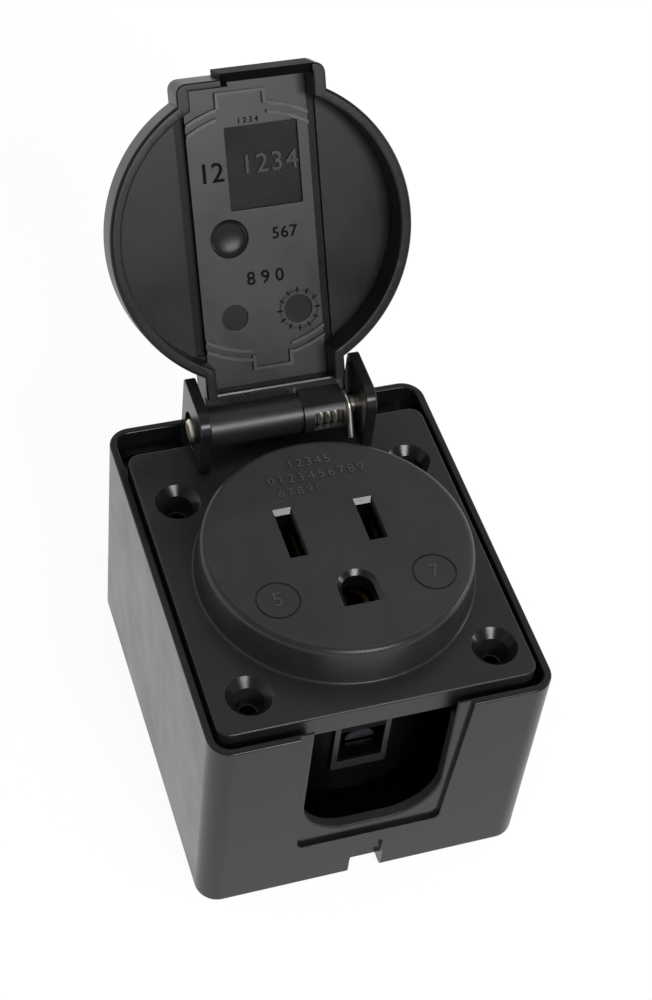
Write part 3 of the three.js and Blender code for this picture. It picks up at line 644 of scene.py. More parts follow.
class Nodes:
    """A short way to build a node tree."""

    def __init__(self, tree: bpy.types.NodeTree) -> None:
        """Clears the tree."""
        self.tree = tree
        tree.nodes.clear()

    def add(self, kind: str, inputs: dict | None = None, **settings: object) -> bpy.types.Node:
        """Adds a node to the tree, with its inputs and settings."""
        return add_node(self.tree, kind, inputs, settings)

    def noise(self, place: Socket, scale: float, detail: float,
              roughness: float = 0.5) -> Socket:
        """Adds a noise and returns its strength."""
        node = self.add("ShaderNodeTexNoise", {
            "Vector": place, "Scale": scale, "Detail": detail, "Roughness": roughness})
        return node.outputs["Fac"]

    def ramp(self, source: Socket,
             stops: Sequence[tuple[float, tuple]]) -> Socket:
        """Adds a colour ramp and returns its colour.

        Args:
            source: What runs along the ramp.
            stops: Places on the ramp, each with its colour.

        Returns:
            The colour's socket.
        """
        node = self.add("ShaderNodeValToRGB", {"Fac": source})
        ramp = node.color_ramp
        while len(ramp.elements) < len(stops):
            ramp.elements.new(0.5)
        for element, (position, colour) in zip(ramp.elements, stops):
            element.position = position
            element.color = (*colour, 1.0)
        return node.outputs["Color"]

    def spread(self, source: Socket, low: float, high: float, to_low: float,
               to_high: float) -> Socket:
        """Maps a range of values to another and returns the result."""
        node = self.add("ShaderNodeMapRange", {
            "Value": source, "From Min": low, "From Max": high, "To Min": to_low, "To Max": to_high})
        return node.outputs["Result"]


@dataclass(frozen=True)
class MouldedPlastic:
    """Black moulded plastic with a fine grain, cloudy gloss and a little dust."""

    name: str
    colour: tuple[float, float, float]
    roughness: float
    roughness_spread: float = 0.05
    grain_size: float = 0.3
    grain_height: float = 0.003
    waviness: float = 0.008
    dust: float = 0.1
    ior: float = 1.5
    dust_colour: tuple[float, float, float] = (0.16, 0.16, 0.15)
    cloud_scale: float = 95.0
    swell_scale: float = 48.0
    speck_scale: float = 900.0
    patch_scale: float = 260.0
    light_share: float = 1.22
    dark_share: float = 0.8
    swell_share: float = 6.0

    def build(self) -> Material:
        """Builds the material.

        Returns:
            The material.
        """
        material = bpy.data.materials.new(self.name)
        material.use_nodes = True
        nodes = Nodes(material.node_tree)
        place = nodes.add("ShaderNodeTexCoord").outputs["Object"]
        grain = nodes.noise(place, 1 / (self.grain_size * MM), 3.0, 0.6)
        cloud = nodes.noise(place, self.cloud_scale, 5.0, 0.62)
        swell = nodes.noise(place, self.swell_scale, 1.0, 0.4)
        patch = nodes.noise(place, self.patch_scale, 4.0, 0.7)
        speck = nodes.add("ShaderNodeTexVoronoi", {
            "Vector": place, "Scale": self.speck_scale, "Randomness": 1.0})
        fine = nodes.spread(speck.outputs["Distance"], 0.05, 0.16, 1.0, 0.0)
        drift = nodes.spread(patch, 0.56, 0.74, 0.0, 1.0)
        dust = nodes.add("ShaderNodeMath", {0: fine, 1: drift}, operation="MULTIPLY")
        dusty = nodes.add("ShaderNodeMath", {0: dust.outputs[0], 1: self.dust}, operation="MULTIPLY")
        light = tuple(min(1.0, channel * self.light_share) for channel in self.colour)
        dark = tuple(channel * self.dark_share for channel in self.colour)
        base = nodes.ramp(cloud, [(0.3, dark), (0.7, light)])
        colour = nodes.add("ShaderNodeMix", {
            "Factor": dusty.outputs[0], "A": base, "B": (*self.dust_colour, 1.0)}, data_type="RGBA")
        low = self.roughness - self.roughness_spread
        high = self.roughness + self.roughness_spread
        roughness = nodes.spread(cloud, 0.3, 0.7, low, high)
        wave = nodes.add("ShaderNodeBump", {
            "Height": swell, "Distance": self.waviness * MM * self.swell_share, "Strength": 1.0})
        bump = nodes.add("ShaderNodeBump", {
            "Height": grain, "Distance": self.grain_height * MM, "Strength": 1.0,
            "Normal": wave.outputs["Normal"]})
        surface = nodes.add("ShaderNodeBsdfPrincipled", {
            "Base Color": colour.outputs["Result"], "Roughness": roughness, "Normal": bump.outputs["Normal"],
            "IOR": self.ior})
        nodes.add("ShaderNodeOutputMaterial", {"Surface": surface.outputs["BSDF"]})
        return material


@dataclass(frozen=True)
class Metal:
    """Bright metal with fine drawn or rolled lines."""

    name: str
    colour: tuple[float, float, float]
    roughness: float
    line_stretch: tuple[float, float, float] = (60.0, 2400.0, 2400.0)
    line_height: float = 0.002
    stain_scale: float = 420.0
    dark_share: float = 0.72

    def build(self) -> Material:
        """Builds the material.

        Returns:
            The material.
        """
        material = bpy.data.materials.new(self.name)
        material.use_nodes = True
        nodes = Nodes(material.node_tree)
        place = nodes.add("ShaderNodeTexCoord").outputs["Object"]
        drawn = nodes.add("ShaderNodeMapping", {"Vector": place, "Scale": self.line_stretch})
        lines = nodes.noise(drawn.outputs["Vector"], 1.0, 3.0)
        stain = nodes.noise(place, self.stain_scale, 4.0, 0.6)
        dark = tuple(channel * self.dark_share for channel in self.colour)
        base = nodes.ramp(stain, [(0.34, dark), (0.6, self.colour)])
        roughness = nodes.spread(stain, 0.3, 0.7, self.roughness * 1.5, self.roughness * 0.8)
        bump = nodes.add("ShaderNodeBump", {
            "Height": lines, "Distance": self.line_height * MM, "Strength": 1.0})
        surface = nodes.add("ShaderNodeBsdfPrincipled", {
            "Base Color": base, "Roughness": roughness, "Metallic": 1.0, "Normal": bump.outputs["Normal"]})
        nodes.add("ShaderNodeOutputMaterial", {"Surface": surface.outputs["BSDF"]})
        return material


def made(finish: MouldedPlastic | Metal) -> Material:
    """Declares a field whose material is built with the object that holds it."""
    return field(default_factory=finish.build)


@dataclass
class Finishes:
    """Every finish on the object, built once."""

    box: Material = made(MouldedPlastic(
        "box_plastic", (0.0095, 0.0105, 0.011), roughness=0.22, grain_height=0.0008, waviness=0.02,
        dust=0.08))
    # Painted highlight: a lighter, matt copy of the box plastic that makes the cable entry's edges read as
    # lit.
    edge: Material = made(MouldedPlastic(
        "painted_highlight_edge_plastic", (0.032, 0.035, 0.036), roughness=0.5, grain_height=0.0008, waviness=0.02,
        dust=0.08))
    housing: Material = made(MouldedPlastic(
        "housing_plastic", (0.0205, 0.0222, 0.0224), roughness=0.34, roughness_spread=0.06,
        grain_size=0.16, dust=0.16))
    face: Material = made(MouldedPlastic(
        "face_plastic", (0.037, 0.0405, 0.0405), roughness=0.46, grain_size=0.36, grain_height=0.022,
        dust=0.2))
    # Painted highlight: a lighter copy of the housing plastic for the raised digits' tops, where they catch
    # the light.
    digit: Material = made(MouldedPlastic(
        "digit_highlight_plastic", (0.075, 0.08, 0.082), roughness=0.34, grain_height=0.004))
    ear: Material = made(MouldedPlastic(
        "ear_plastic", (0.010, 0.011, 0.011), roughness=0.24, roughness_spread=0.04, grain_size=0.2,
        grain_height=0.0006))
    lid: Material = made(MouldedPlastic(
        "lid_plastic", (0.0085, 0.0096, 0.0098), roughness=0.32, grain_size=0.22, grain_height=0.006,
        waviness=0.012, dust=0.14, ior=1.42))
    band: Material = made(MouldedPlastic(
        "lid_band_plastic", (0.034, 0.0377, 0.0388), roughness=0.34, waviness=0.012, dust=0.14))
    window: Material = made(MouldedPlastic(
        "lid_window_plastic", (0.0065, 0.007, 0.007), roughness=0.46, roughness_spread=0.08,
        grain_size=0.34, grain_height=0.05, ior=1.33))
    # Painted shade: a near-black, dull copy of the plastic for throats, grooves and gaps that lie in shade.
    recess: Material = made(MouldedPlastic(
        "painted_shade_plastic", (0.0045, 0.0048, 0.0048), roughness=0.34, roughness_spread=0.06,
        grain_size=0.26, grain_height=0.004, dust=0.06, ior=1.3))
    # Painted highlight: a lighter copy of the lid plastic that makes the ribs' tops read as lit lines.
    rib: Material = made(MouldedPlastic("rib_highlight_plastic", (0.085, 0.091, 0.093), roughness=0.28))
    # Painted highlight: a lighter copy of the lid plastic with a raised IOR, so the barrel and the sill's
    # bead show a bright band.
    barrel: Material = made(MouldedPlastic(
        "barrel_highlight_plastic", (0.014, 0.0153, 0.0155), roughness=0.4, grain_size=0.26, waviness=0.01,
        dust=0.14, ior=1.7))
    # Painted shade: a near-black, dull copy of the lid plastic for the catch and the band's raised digits.
    catch: Material = made(MouldedPlastic(
        "catch_painted_shade_plastic", (0.0038, 0.0042, 0.0042), roughness=0.5, roughness_spread=0.06,
        grain_size=0.26, grain_height=0.002, dust=0.06, ior=1.14))
    # The carrier is black plastic, darkened further and dulled here as painted shade for where it sits inside
    # the box.
    carrier: Material = made(MouldedPlastic(
        "carrier_plastic", (0.0025, 0.0025, 0.0027), roughness=0.5, roughness_spread=0.06,
        grain_size=0.2, grain_height=0.006, waviness=0.01, dust=0.05, ior=1.18))
    brass: Material = made(Metal("contact_brass", (0.4, 0.27, 0.1), roughness=0.24))
    zinc: Material = made(Metal("plated_steel", (0.3, 0.3, 0.29), roughness=0.3))
    screw: Material = made(Metal("screw_steel", (0.028, 0.03, 0.035), roughness=0.24))
    wire: Material = made(Metal("spring_steel", (0.92, 0.88, 0.8), roughness=0.36))
    pin: Material = made(Metal(
        "pin_steel", (0.92, 0.85, 0.73), roughness=0.36, line_stretch=(900.0, 900.0, 900.0)))


# The object's places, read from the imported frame


HINGE_ABOVE_FLANGE = 4.0
FLANGE_BEHIND_HINGE = 0.6
FACE_ABOVE_FLANGE = 6.7
FACE_BEHIND_FRONT = 25.2  # from the flange's front edge to the face's middle


@dataclass(frozen=True)
class Datum:
    """Places that more than one sub-assembly uses, in millimetres."""

    box_half_width: float
    box_half_depth: float
    box_height: float
    ledge_z: float
    flange_top: float
    flange_front: float
    flange_back: float
    flange_half_width: float
    face_y: float
    face_top: float
    hinge_y: float
    hinge_z: float
    lid_angle: float
    rim_thickness: float = 1.2

    @classmethod
    def from_frame(cls) -> "Datum":
        """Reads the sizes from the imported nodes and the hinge's joint.

        Returns:
            The places.
        """
        box_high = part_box("surface_box")[1]
        housing_low, housing_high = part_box("socket_housing")
        joint = next(joint for joint in frame["joints"] if joint["name"] == "lid_hinge")
        hinge_y, hinge_z = joint["pos_m"][1] / MM, joint["pos_m"][2] / MM
        ledge_z = housing_low[2] / MM
        front = housing_low[1] / MM
        return cls(
            box_half_width=box_high[0] / MM,
            box_half_depth=box_high[1] / MM,
            box_height=box_high[2] / MM,
            ledge_z=ledge_z,
            flange_top=hinge_z - HINGE_ABOVE_FLANGE,
            flange_front=front,
            flange_back=hinge_y + FLANGE_BEHIND_HINGE,
            flange_half_width=housing_high[0] / MM,
            face_y=front + FACE_BEHIND_FRONT,
            face_top=hinge_z - HINGE_ABOVE_FLANGE + FACE_ABOVE_FLANGE,
            hinge_y=hinge_y,
            hinge_z=hinge_z,
            lid_angle=max(joint["range_deg"]),
        )


def mounting_points(datum: Datum, pitch: float = 38.1, front_shift: float = 0.6) -> list[Point]:
    """Lists the four mounting holes' centres, anticlockwise from the front left.

    Args:
        datum: The shared places.
        pitch: How far apart the holes stand.
        front_shift: How far right the front pair stands, as the socket lies slightly turned.

    Returns:
        The four centres.
    """
    half = pitch / 2
    return [(front_shift - half, datum.face_y - half), (front_shift + half, datum.face_y - half),
            (half, datum.face_y + half), (-half, datum.face_y + half)]


@dataclass(frozen=True)
class Digits:
    """A row of plain raised digits."""

    text: str
    centre: Point
    size: float
    height: float = 0.16
    weight: float = 0.0
    spacing: float = 1.0
    curve_steps: int = 3

    def build(self, place: Matrix) -> Solid:
        """Draws the digits.

        Args:
            place: Turns the drawing, which lies face up with its middle on the origin, into its place.

        Returns:
            The digits as a closed mesh.
        """
        curve = bpy.data.curves.new("digits", "FONT")
        curve.body = self.text
        curve.size = self.size
        curve.align_x = "CENTER"
        curve.align_y = "CENTER"
        curve.extrude = self.height
        curve.offset = self.weight
        curve.space_character = self.spacing
        curve.resolution_u = self.curve_steps
        carrier = bpy.data.objects.new("digits", curve)
        bpy.context.scene.collection.objects.link(carrier)
        graph = bpy.context.evaluated_depsgraph_get()
        mesh = bpy.data.meshes.new_from_object(carrier.evaluated_get(graph))
        bpy.data.objects.remove(carrier)
        bpy.data.curves.remove(curve)
        drawn = Solid()
        spent = drawn.object.data
        drawn.object.data = mesh
        bpy.data.meshes.remove(spent)
        return drawn.place(place @ Matrix.Translation((self.centre[0], self.centre[1], 0.0)))


# Surface box


@dataclass
class SurfaceBox:
    """The deep box that the socket lies in, with its recessed panel and U-shaped cable entry."""

    datum: Datum
    corner_radius: float = 3.6
    foot_radius: float = 1.1
    rim_edge: float = 0.32
    ledge_width: float = 1.2
    inner_corner: float = 0.8
    floor_thickness: float = 2.2
    floor_fillet: float = 0.6
    boss_radius: float = 3.3
    boss_web: float = 1.6
    pilot_radius: float = 1.3
    pilot_depth: float = 14.0
    hole_edge: float = 0.3
    wall_screw_hole: float = 2.2
    wall_screw_pitch: float = 30.0
    panel_recess: float = 0.7
    panel_top: float = 26.6
    panel_foot: float = 23.2
    panel_sill: float = 11.0
    panel_corner: float = 1.2
    panel_edge: float = 0.12
    entry_width: float = 22.0
    entry_sill: float = 13.4
    entry_radius: float = 8.0
    entry_edge: float = 0.35
    notch_width: float = 5.4
    notch_height: float = 4.8
    notch_offset: float = 0.4
    notch_corner: float = 0.5
    notch_edge: float = 0.15
    notch_groove_foot: float = 4.2
    notch_groove_top: float = 8.2
    notch_groove_depth: float = 0.8
    notch_groove_inset: float = 0.35

    @property
    def wall(self) -> float:
        """How thick the walls are below the rim."""
        return self.datum.rim_thickness + self.ledge_width

    def build(self, finishes: "Finishes") -> list[bpy.types.Object]:
        """Builds the moulding and puts it in the place of its CAD node.

        Args:
            finishes: Every finish on the object.

        Returns:
            The finished pieces.
        """
        shell = self._shell()
        shell.join(*[self._boss(point) for point in mounting_points(self.datum)])
        shell.cut(*[self._pilot(point) for point in mounting_points(self.datum)])
        shell.cut(self._panel(), self._entry(), self._notch(), self._notch_groove(), *self._wall_holes())
        # The wall's thickness round the cable entry gets the lighter edge finish, which is a painted
        # highlight.
        piece = shell.finish("box_moulding", finishes.box, regions=[(finishes.edge, self._on_entry)])
        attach(piece, Body.SOCKET.value)
        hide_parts("surface_box")
        return [piece]

    def _on_entry(self, point: Vector) -> bool:
        """Tells whether a point lies on the wall's thickness, round the cable entry."""
        depth = point.y + self.datum.box_half_depth
        within = self.panel_recess + SLACK < depth < self.wall - SLACK / 2
        across = abs(point.x) < self.entry_width / 2 + SLACK
        return within and across and point.z > self.entry_sill - SLACK

    def _outline(self, inset: float, radius: float, steps: int = 12) -> Outline:
        """Draws the box's plan, moved in by inset.

        Args:
            inset: How far its sides stand in.
            radius: The corners' radius.
            steps: How many chords each corner has.

        Returns:
            The plan.
        """
        half_x = self.datum.box_half_width - inset
        half_y = self.datum.box_half_depth - inset
        return rounded_rectangle((-half_x, -half_y), (half_x, half_y), radius, steps)

    def _shell(self) -> Solid:
        """Builds the walls, the floor, the ledge and the rim."""
        datum = self.datum
        shell = drawn_out(self._outline(0.0, self.corner_radius), Axis.Z, 0.0, datum.box_height,
                          self.foot_radius, self.rim_edge, steps=5)
        top = datum.box_height + PAST
        inside = self._outline(self.wall, max(self.corner_radius - self.wall, self.inner_corner), 6)
        recess = self._outline(datum.rim_thickness, self.corner_radius - datum.rim_thickness, 10)
        return shell.cut(
            drawn_out(inside, Axis.Z, self.floor_thickness, top, self.floor_fillet, 0.0, steps=3),
            opening(recess, Axis.Z, datum.ledge_z, datum.box_height, self.rim_edge))

    def _boss(self, point: Point) -> Solid:
        """Builds one screw boss and the web that ties it to the side wall.

        Args:
            point: The boss's centre.

        Returns:
            The boss.
        """
        x, y = point
        foot, top = self.floor_thickness / 2, self.datum.ledge_z
        wall_x = math.copysign(self.datum.box_half_width - self.datum.rim_thickness - OVERLAP, x)
        web = block((min(x, wall_x), y - self.boss_web / 2, foot),
                    (max(x, wall_x), y + self.boss_web / 2, top - SLIP))
        return rod(Axis.Z, point, self.boss_radius, foot, top, steps=40).join(web)

    def _pilot(self, point: Point) -> Solid:
        """Makes the cut for one screw's pilot hole."""
        top = self.datum.ledge_z
        return opening(circle(point, self.pilot_radius, steps=28), Axis.Z, top - self.pilot_depth, top,
                       self.hole_edge, steps=2)

    def _panel(self) -> Solid:
        """Makes the cut for the front wall's recessed panel."""
        front = -self.datum.box_half_depth
        top_z = self.datum.box_height + PAST
        foot, top = self.panel_foot / 2, self.panel_top / 2
        lean = (top - foot) / (self.datum.box_height - self.panel_sill)
        top += lean * PAST
        corner = self.panel_corner
        bend_z = self.panel_sill + corner
        outline = [(-foot, bend_z)]
        outline += arc((-foot + corner, bend_z), corner, 190, 270, steps=4)
        outline += arc((foot - corner, bend_z), corner, 270, 350, steps=4)
        outline += [(foot, bend_z), (top, top_z), (-top, top_z)]
        return opening(outline, Axis.Y, front + self.panel_recess, front, self.panel_edge)

    def _entry(self) -> Solid:
        """Makes the cut for the U-shaped cable entry."""
        half = self.entry_width / 2
        outline = rounded_rectangle((-half, self.entry_sill), (half, self.datum.box_height + PAST),
                                    [self.entry_radius, self.entry_radius, 0, 0], steps=18)
        face = -self.datum.box_half_depth + self.panel_recess
        inside = -self.datum.box_half_depth + self.wall + PAST
        return opening(outline, Axis.Y, inside, face, self.entry_edge)

    def _notch(self) -> Solid:
        """Makes the cut for the notch at the foot of the front wall."""
        return self._front_slot(0.0, -PAST, self.notch_height, self.wall + 2 * OVERLAP, self.notch_edge)

    def _notch_groove(self) -> Solid:
        """Makes the cut for the shallow groove that runs up the front wall from the notch."""
        return self._front_slot(self.notch_groove_inset, self.notch_groove_foot, self.notch_groove_top,
                                self.notch_groove_depth, self.panel_edge)

    def _front_slot(self, inset: float, foot: float, top: float, depth: float, edge: float) -> Solid:
        """Makes a cut in the front wall's outer face, in line with the notch.

        Args:
            inset: How far inside the notch's width each side stands.
            foot: The cut's lower end.
            top: Its upper end.
            depth: How deep it goes.
            edge: Its mouth's rounding.

        Returns:
            The cutting solid.
        """
        half, front = self.notch_width / 2 - inset, -self.datum.box_half_depth
        outline = rounded_rectangle((self.notch_offset - half, foot), (self.notch_offset + half, top),
                                    [0, 0, self.notch_corner, self.notch_corner], steps=3)
        return opening(outline, Axis.Y, front + depth, front, edge, steps=2)

    def _wall_holes(self) -> list[Solid]:
        """Makes the cuts for the screws that hold the box to the wall."""
        half = self.wall_screw_pitch / 2
        return [opening(circle((0.0, y), self.wall_screw_hole, steps=40), Axis.Z, -PAST, self.floor_thickness,
                        self.hole_edge, steps=2) for y in (-half, half)]


# Socket housing


@dataclass
class SocketHousing:
    """The flange, the raised face with its three plug openings, and the two hinge ears."""

    datum: Datum
    corner_radius: float = 2.2
    flange_edge: float = 0.45
    flange_foot_edge: float = 0.15
    face_shift: Point = (0.7, 0.55)
    face_radius: float = 21.45
    face_taper: float = 0.6
    face_edge: float = 1.25
    face_fillet: float = 0.45
    face_thickness: float = 3.0
    face_bore: float = 18.8
    mounting_hole: float = 2.3
    countersink: float = 3.5
    countersink_depth: float = 1.35
    brim_inner: float = 3.45
    brim_outer: float = 3.56
    brim_drop: float = 0.08
    blade_x: float = 6.35
    blade_shift: float = 0.5
    ground_shift: Point = (1.0, -0.35)
    blade_row: float = 3.5
    ground_offset: float = 11.8
    slot_width: float = 2.4
    neutral_length: float = 8.8
    line_length: float = 7.6
    openings_reach: float = 12.6
    lead_in: float = 0.28
    end_lead_in: float = 0.72
    back_lead_in: float = 0.1
    ground_lead_in: float = 0.7
    lead_in_depth: float = 0.72
    ground_width: float = 5.0
    ground_length: float = 5.7
    ear_inner: float = 12.6
    ear_thickness: float = 1.8
    ear_front: float = 5.9
    ear_top: float = 7.0
    ear_radius: float = 3.0
    ear_back_radius: float = 1.0
    ear_back_gap: float = 0.35
    ear_edge: float = 0.22
    heel_drop: float = 0.35
    pin_hole: float = 1.55
    pin_seat: float = 3.0
    pin_seat_depth: float = 0.6
    pin_seat_edge: float = 0.12
    pillar_x: float = 10.6
    pillar_from_face: float = 10.4
    pillar_radius: float = 2.7
    pillar_length: float = 7.0
    pillar_root: float = 0.5
    pillar_hole: float = 1.4
    ring_radius: float = 3.25
    ring_width: float = 0.34
    ring_depth: float = 0.2
    ring_centres: tuple[Point, ...] = ((-11.4, -12.2), (12.9, -12.4))
    digit_rows: tuple[Digits, ...] = (
        Digits("12345", (0.9, 12.7), 2.3, 0.24, 0.02, 1.3),
        Digits("0123456789", (1.3, 9.9), 2.3, 0.24, 0.02, 1.4),
        Digits("67890", (-2.0, 7.3), 2.1, 0.2, 0.01, 1.45),
        Digits("5", (-11.4, -12.2), 3.6, 0.14, 0.0),
        Digits("7", (12.9, -12.4), 3.6, 0.14, 0.0),
    )
    digit_sink: float = 0.04

    def build(self, finishes: "Finishes") -> list[bpy.types.Object]:
        """Builds the moulding and puts it in the place of its CAD node.

        Args:
            finishes: Every finish on the object.

        Returns:
            The finished pieces.
        """
        moulding = self._flange().join(self._face(), self._heel_block(), self._ear(-1), self._ear(1))
        moulding.cut(rod(Axis.Z, (0.0, self.datum.face_y), self.face_bore, self.datum.ledge_z - PAST,
                         self.datum.face_top - self.face_thickness, steps=128))
        moulding.join(*[self._pillar(side) for side in (-1, 1)])
        moulding.cut(*self._plug_openings(), *self._pin_cuts(), *self._screw_holes(), *self._rings())
        self._add_digits(moulding)
        piece = moulding.finish("housing_moulding", finishes.housing, regions=[
            # The digit finish paints a highlight on the raised digits' tops.
            (finishes.face, self._on_face), (finishes.digit, self._on_digit),
            # The recess finish paints shade on the plug openings' straight walls.
            (finishes.ear, self._on_lead_in), (finishes.recess, self._on_throat),
            (finishes.ear, self._on_countersink), (finishes.ear, self._on_ear)])
        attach(piece, Body.SOCKET.value)
        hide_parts("socket_housing")
        return [piece]

    def _on_face(self, point: Vector) -> bool:
        """Tells whether a point lies on the raised face's level top."""
        before_ears = point.y < self.datum.hinge_y - self.ear_front - 5 * SLACK
        return before_ears and point.z > self.datum.face_top - SLACK

    def _on_digit(self, point: Vector) -> bool:
        """Tells whether a point lies on a raised digit's top."""
        return self._on_face(point) and point.z > self.datum.face_top + 2 * self.digit_sink

    def _by_openings(self, point: Vector) -> bool:
        """Tells whether a point stands among the plug openings."""
        across, along = point.x - self.face_shift[0], point.y - self.datum.face_y
        return math.hypot(across, along) < self.openings_reach

    def _on_lead_in(self, point: Vector) -> bool:
        """Tells whether a point lies on a plug opening's sloping mouth."""
        depth = self.datum.face_top - point.z
        return self._by_openings(point) and 1.2 * SLACK < depth < self.lead_in_depth - SLACK / 2

    def _on_throat(self, point: Vector) -> bool:
        """Tells whether a point lies on a plug opening's straight wall, under its mouth."""
        depth = self.datum.face_top - point.z
        straight = self.lead_in_depth + 2 * SLIP < depth < self.face_thickness - 2 * SLACK
        return self._by_openings(point) and straight

    def _on_countersink(self, point: Vector) -> bool:
        """Tells whether a point lies on a mounting hole's countersink."""
        if not 2 * SLIP < self.datum.flange_top - point.z < self.countersink_depth:
            return False
        return any(math.hypot(point.x - x, point.y - y) < self.countersink + SLACK
                   for x, y in mounting_points(self.datum))

    def _on_ear(self, point: Vector) -> bool:
        """Tells whether a point lies on an ear."""
        behind = point.y > self.datum.hinge_y - self.ear_front - 3 * SLACK
        above = point.z > self.datum.flange_top + 3 * SLACK
        return behind and above and abs(point.x) > self.ear_inner - SLACK

    def _flange(self) -> Solid:
        """Builds the rectangular flange with its softly rounded top edge."""
        datum = self.datum
        outline = rounded_rectangle((-datum.flange_half_width, datum.flange_front),
                                    (datum.flange_half_width, datum.flange_back), self.corner_radius, steps=9)
        return drawn_out(outline, Axis.Z, datum.ledge_z, datum.flange_top, self.flange_foot_edge,
                         self.flange_edge, steps=5)

    def _face(self) -> Solid:
        """Builds the raised round face with its rounded edge and the fillet at its foot."""
        datum = self.datum
        foot = self.face_radius + self.face_fillet
        top = self.face_radius - self.face_taper - self.face_edge
        low = datum.ledge_z + 2 * SLIP
        profile: Outline = [(0.0, low), (foot, low), (foot, datum.flange_top)]
        profile += arc((foot, datum.flange_top + self.face_fillet), self.face_fillet, 270, 180, steps=6)[1:]
        profile += arc((top, datum.face_top - self.face_edge), self.face_edge, 0, 90, steps=8)
        profile += [(0.0, datum.face_top)]
        return turned(profile, (self.face_shift[0], datum.face_y + self.face_shift[1]), steps=180)

    def _heel_block(self) -> Solid:
        """Builds the block that carries the ears behind the flange."""
        reach = self.ear_inner + self.ear_thickness
        return block((-reach, self.datum.flange_back - PAST, self.datum.ledge_z + 3 * SLIP),
                     (reach, self._ear_back(), self.datum.flange_top - self.heel_drop))

    def _ear_back(self) -> float:
        """Gives the rear end of the ears, just inside the box's rim."""
        return self.datum.box_half_depth - self.datum.rim_thickness - self.ear_back_gap

    def _ear(self, side: int) -> Solid:
        """Builds the left or right ear, rounded along its edges.

        Args:
            side: -1 for the left ear, 1 for the right one.

        Returns:
            The ear.
        """
        datum = self.datum
        front, back = datum.hinge_y - self.ear_front, self._ear_back()
        top = datum.hinge_z + self.ear_top
        outline = rounded_rectangle((front, datum.ledge_z + 4 * SLIP), (back, top),
                                    [0, 0, self.ear_back_radius, self.ear_radius], steps=10)
        left, right = sorted((side * self.ear_inner, side * (self.ear_inner + self.ear_thickness)))
        return drawn_out(outline, Axis.X, left, right, self.ear_edge, self.ear_edge, steps=3)

    def _pillar(self, side: int) -> Solid:
        """Builds a pillar under the face that takes one of the carrier's screws.

        Args:
            side: -1 for the left pillar, 1 for the right one.

        Returns:
            The pillar.
        """
        under = self.datum.face_top - self.face_thickness
        centre = (side * self.pillar_x, self.datum.face_y - self.pillar_from_face)
        foot, root = under - self.pillar_length, under + self.pillar_root
        pillar = rod(Axis.Z, centre, self.pillar_radius, foot, root, steps=32)
        return pillar.cut(rod(Axis.Z, centre, self.pillar_hole, foot - PAST, root - OVERLAP, steps=20))

    def _plug_openings(self) -> list[Solid]:
        """Makes the cuts for the two blades and the ground pin, each with a flared mouth."""
        datum = self.datum
        row = datum.face_y + self.blade_row
        cuts = []
        for x, length in ((-self.blade_x, self.neutral_length), (self.blade_x, self.line_length)):
            x += self.blade_shift
            half_width, half = self.slot_width / 2, length / 2
            throat = [(x - half_width, row - half), (x + half_width, row - half),
                      (x + half_width, row + half), (x - half_width, row + half)]
            wide = half_width + self.lead_in
            low, high = row - half - self.back_lead_in, row + half + self.end_lead_in
            mouth = [(x - wide, low), (x + wide, low), (x + wide, high), (x - wide, high)]
            cuts.append(self._plug_opening(throat, mouth))
        ground_x, ground_y = self.ground_shift[0], row - self.ground_offset + self.ground_shift[1]
        half = self.ground_width / 2
        back = ground_y - self.ground_length / 2
        bend = ground_y + self.ground_length / 2 - half
        sides = ((half, back), (half + self.ground_lead_in, back - self.back_lead_in))
        throat, mouth = (
            [(ground_x - reach, low), (ground_x + reach, low),
             *arc((ground_x, bend), reach, 0, 180, steps=20)] for reach, low in sides)
        cuts.append(self._plug_opening(throat, mouth))
        return cuts

    def _plug_opening(self, throat: Outline, mouth: Outline) -> Solid:
        """Makes the cut for one plug opening, from its throat to its wider mouth in the face.

        Args:
            throat: The outline of the straight part.
            mouth: The outline at the face.

        Returns:
            The cutting solid.
        """
        top = self.datum.face_top
        under = top - self.face_thickness - PAST
        levels = ((throat, under), (throat, top - self.lead_in_depth), (mouth, top), (mouth, top + PAST))
        return Solid([[Vector((x, y, z)) for x, y in outline] for outline, z in levels])

    def _pin_cuts(self) -> list[Solid]:
        """Makes the cuts for the hinge pin and its seats in the ears' outer sides."""
        centre = (self.datum.hinge_y, self.datum.hinge_z)
        outer = self.ear_inner + self.ear_thickness
        cuts = [rod(Axis.X, centre, self.pin_hole, -outer - PAST, outer + PAST, steps=40)]
        for side in (-1, 1):
            cuts.append(opening(circle(centre, self.pin_seat, steps=40), Axis.X,
                                side * (outer - self.pin_seat_depth), side * outer,
                                self.pin_seat_edge, steps=2))
        return cuts

    def _screw_holes(self) -> list[Solid]:
        """Makes the cuts for the four countersunk mounting holes."""
        top = self.datum.flange_top
        profile: Outline = [
            (0.0, self.datum.ledge_z - PAST), (self.mounting_hole, self.datum.ledge_z - PAST),
            (self.mounting_hole, top - self.countersink_depth), (self.brim_inner, top - self.brim_drop),
            (self.brim_outer, top), (self.brim_outer, top + PAST), (0.0, top + PAST)]
        return [turned(profile, point, steps=56) for point in mounting_points(self.datum)]

    def _rings(self) -> list[Solid]:
        """Makes the cuts for two plain rings low on the face."""
        top = self.datum.face_top + 3 * OVERLAP
        depth = 3 * OVERLAP + self.ring_depth
        return [ring_groove(centre, self.ring_radius, self.ring_width, top, depth)
                for centre in self.ring_centres]

    def _add_digits(self, moulding: Solid) -> None:
        """Raises rows of plain digits near the face's upper edge and in the rings."""
        place = Matrix.Translation((0.0, 0.0, self.datum.face_top - self.digit_sink))
        for row in self.digit_rows:
            moulding.take(row.build(place))


# Lid


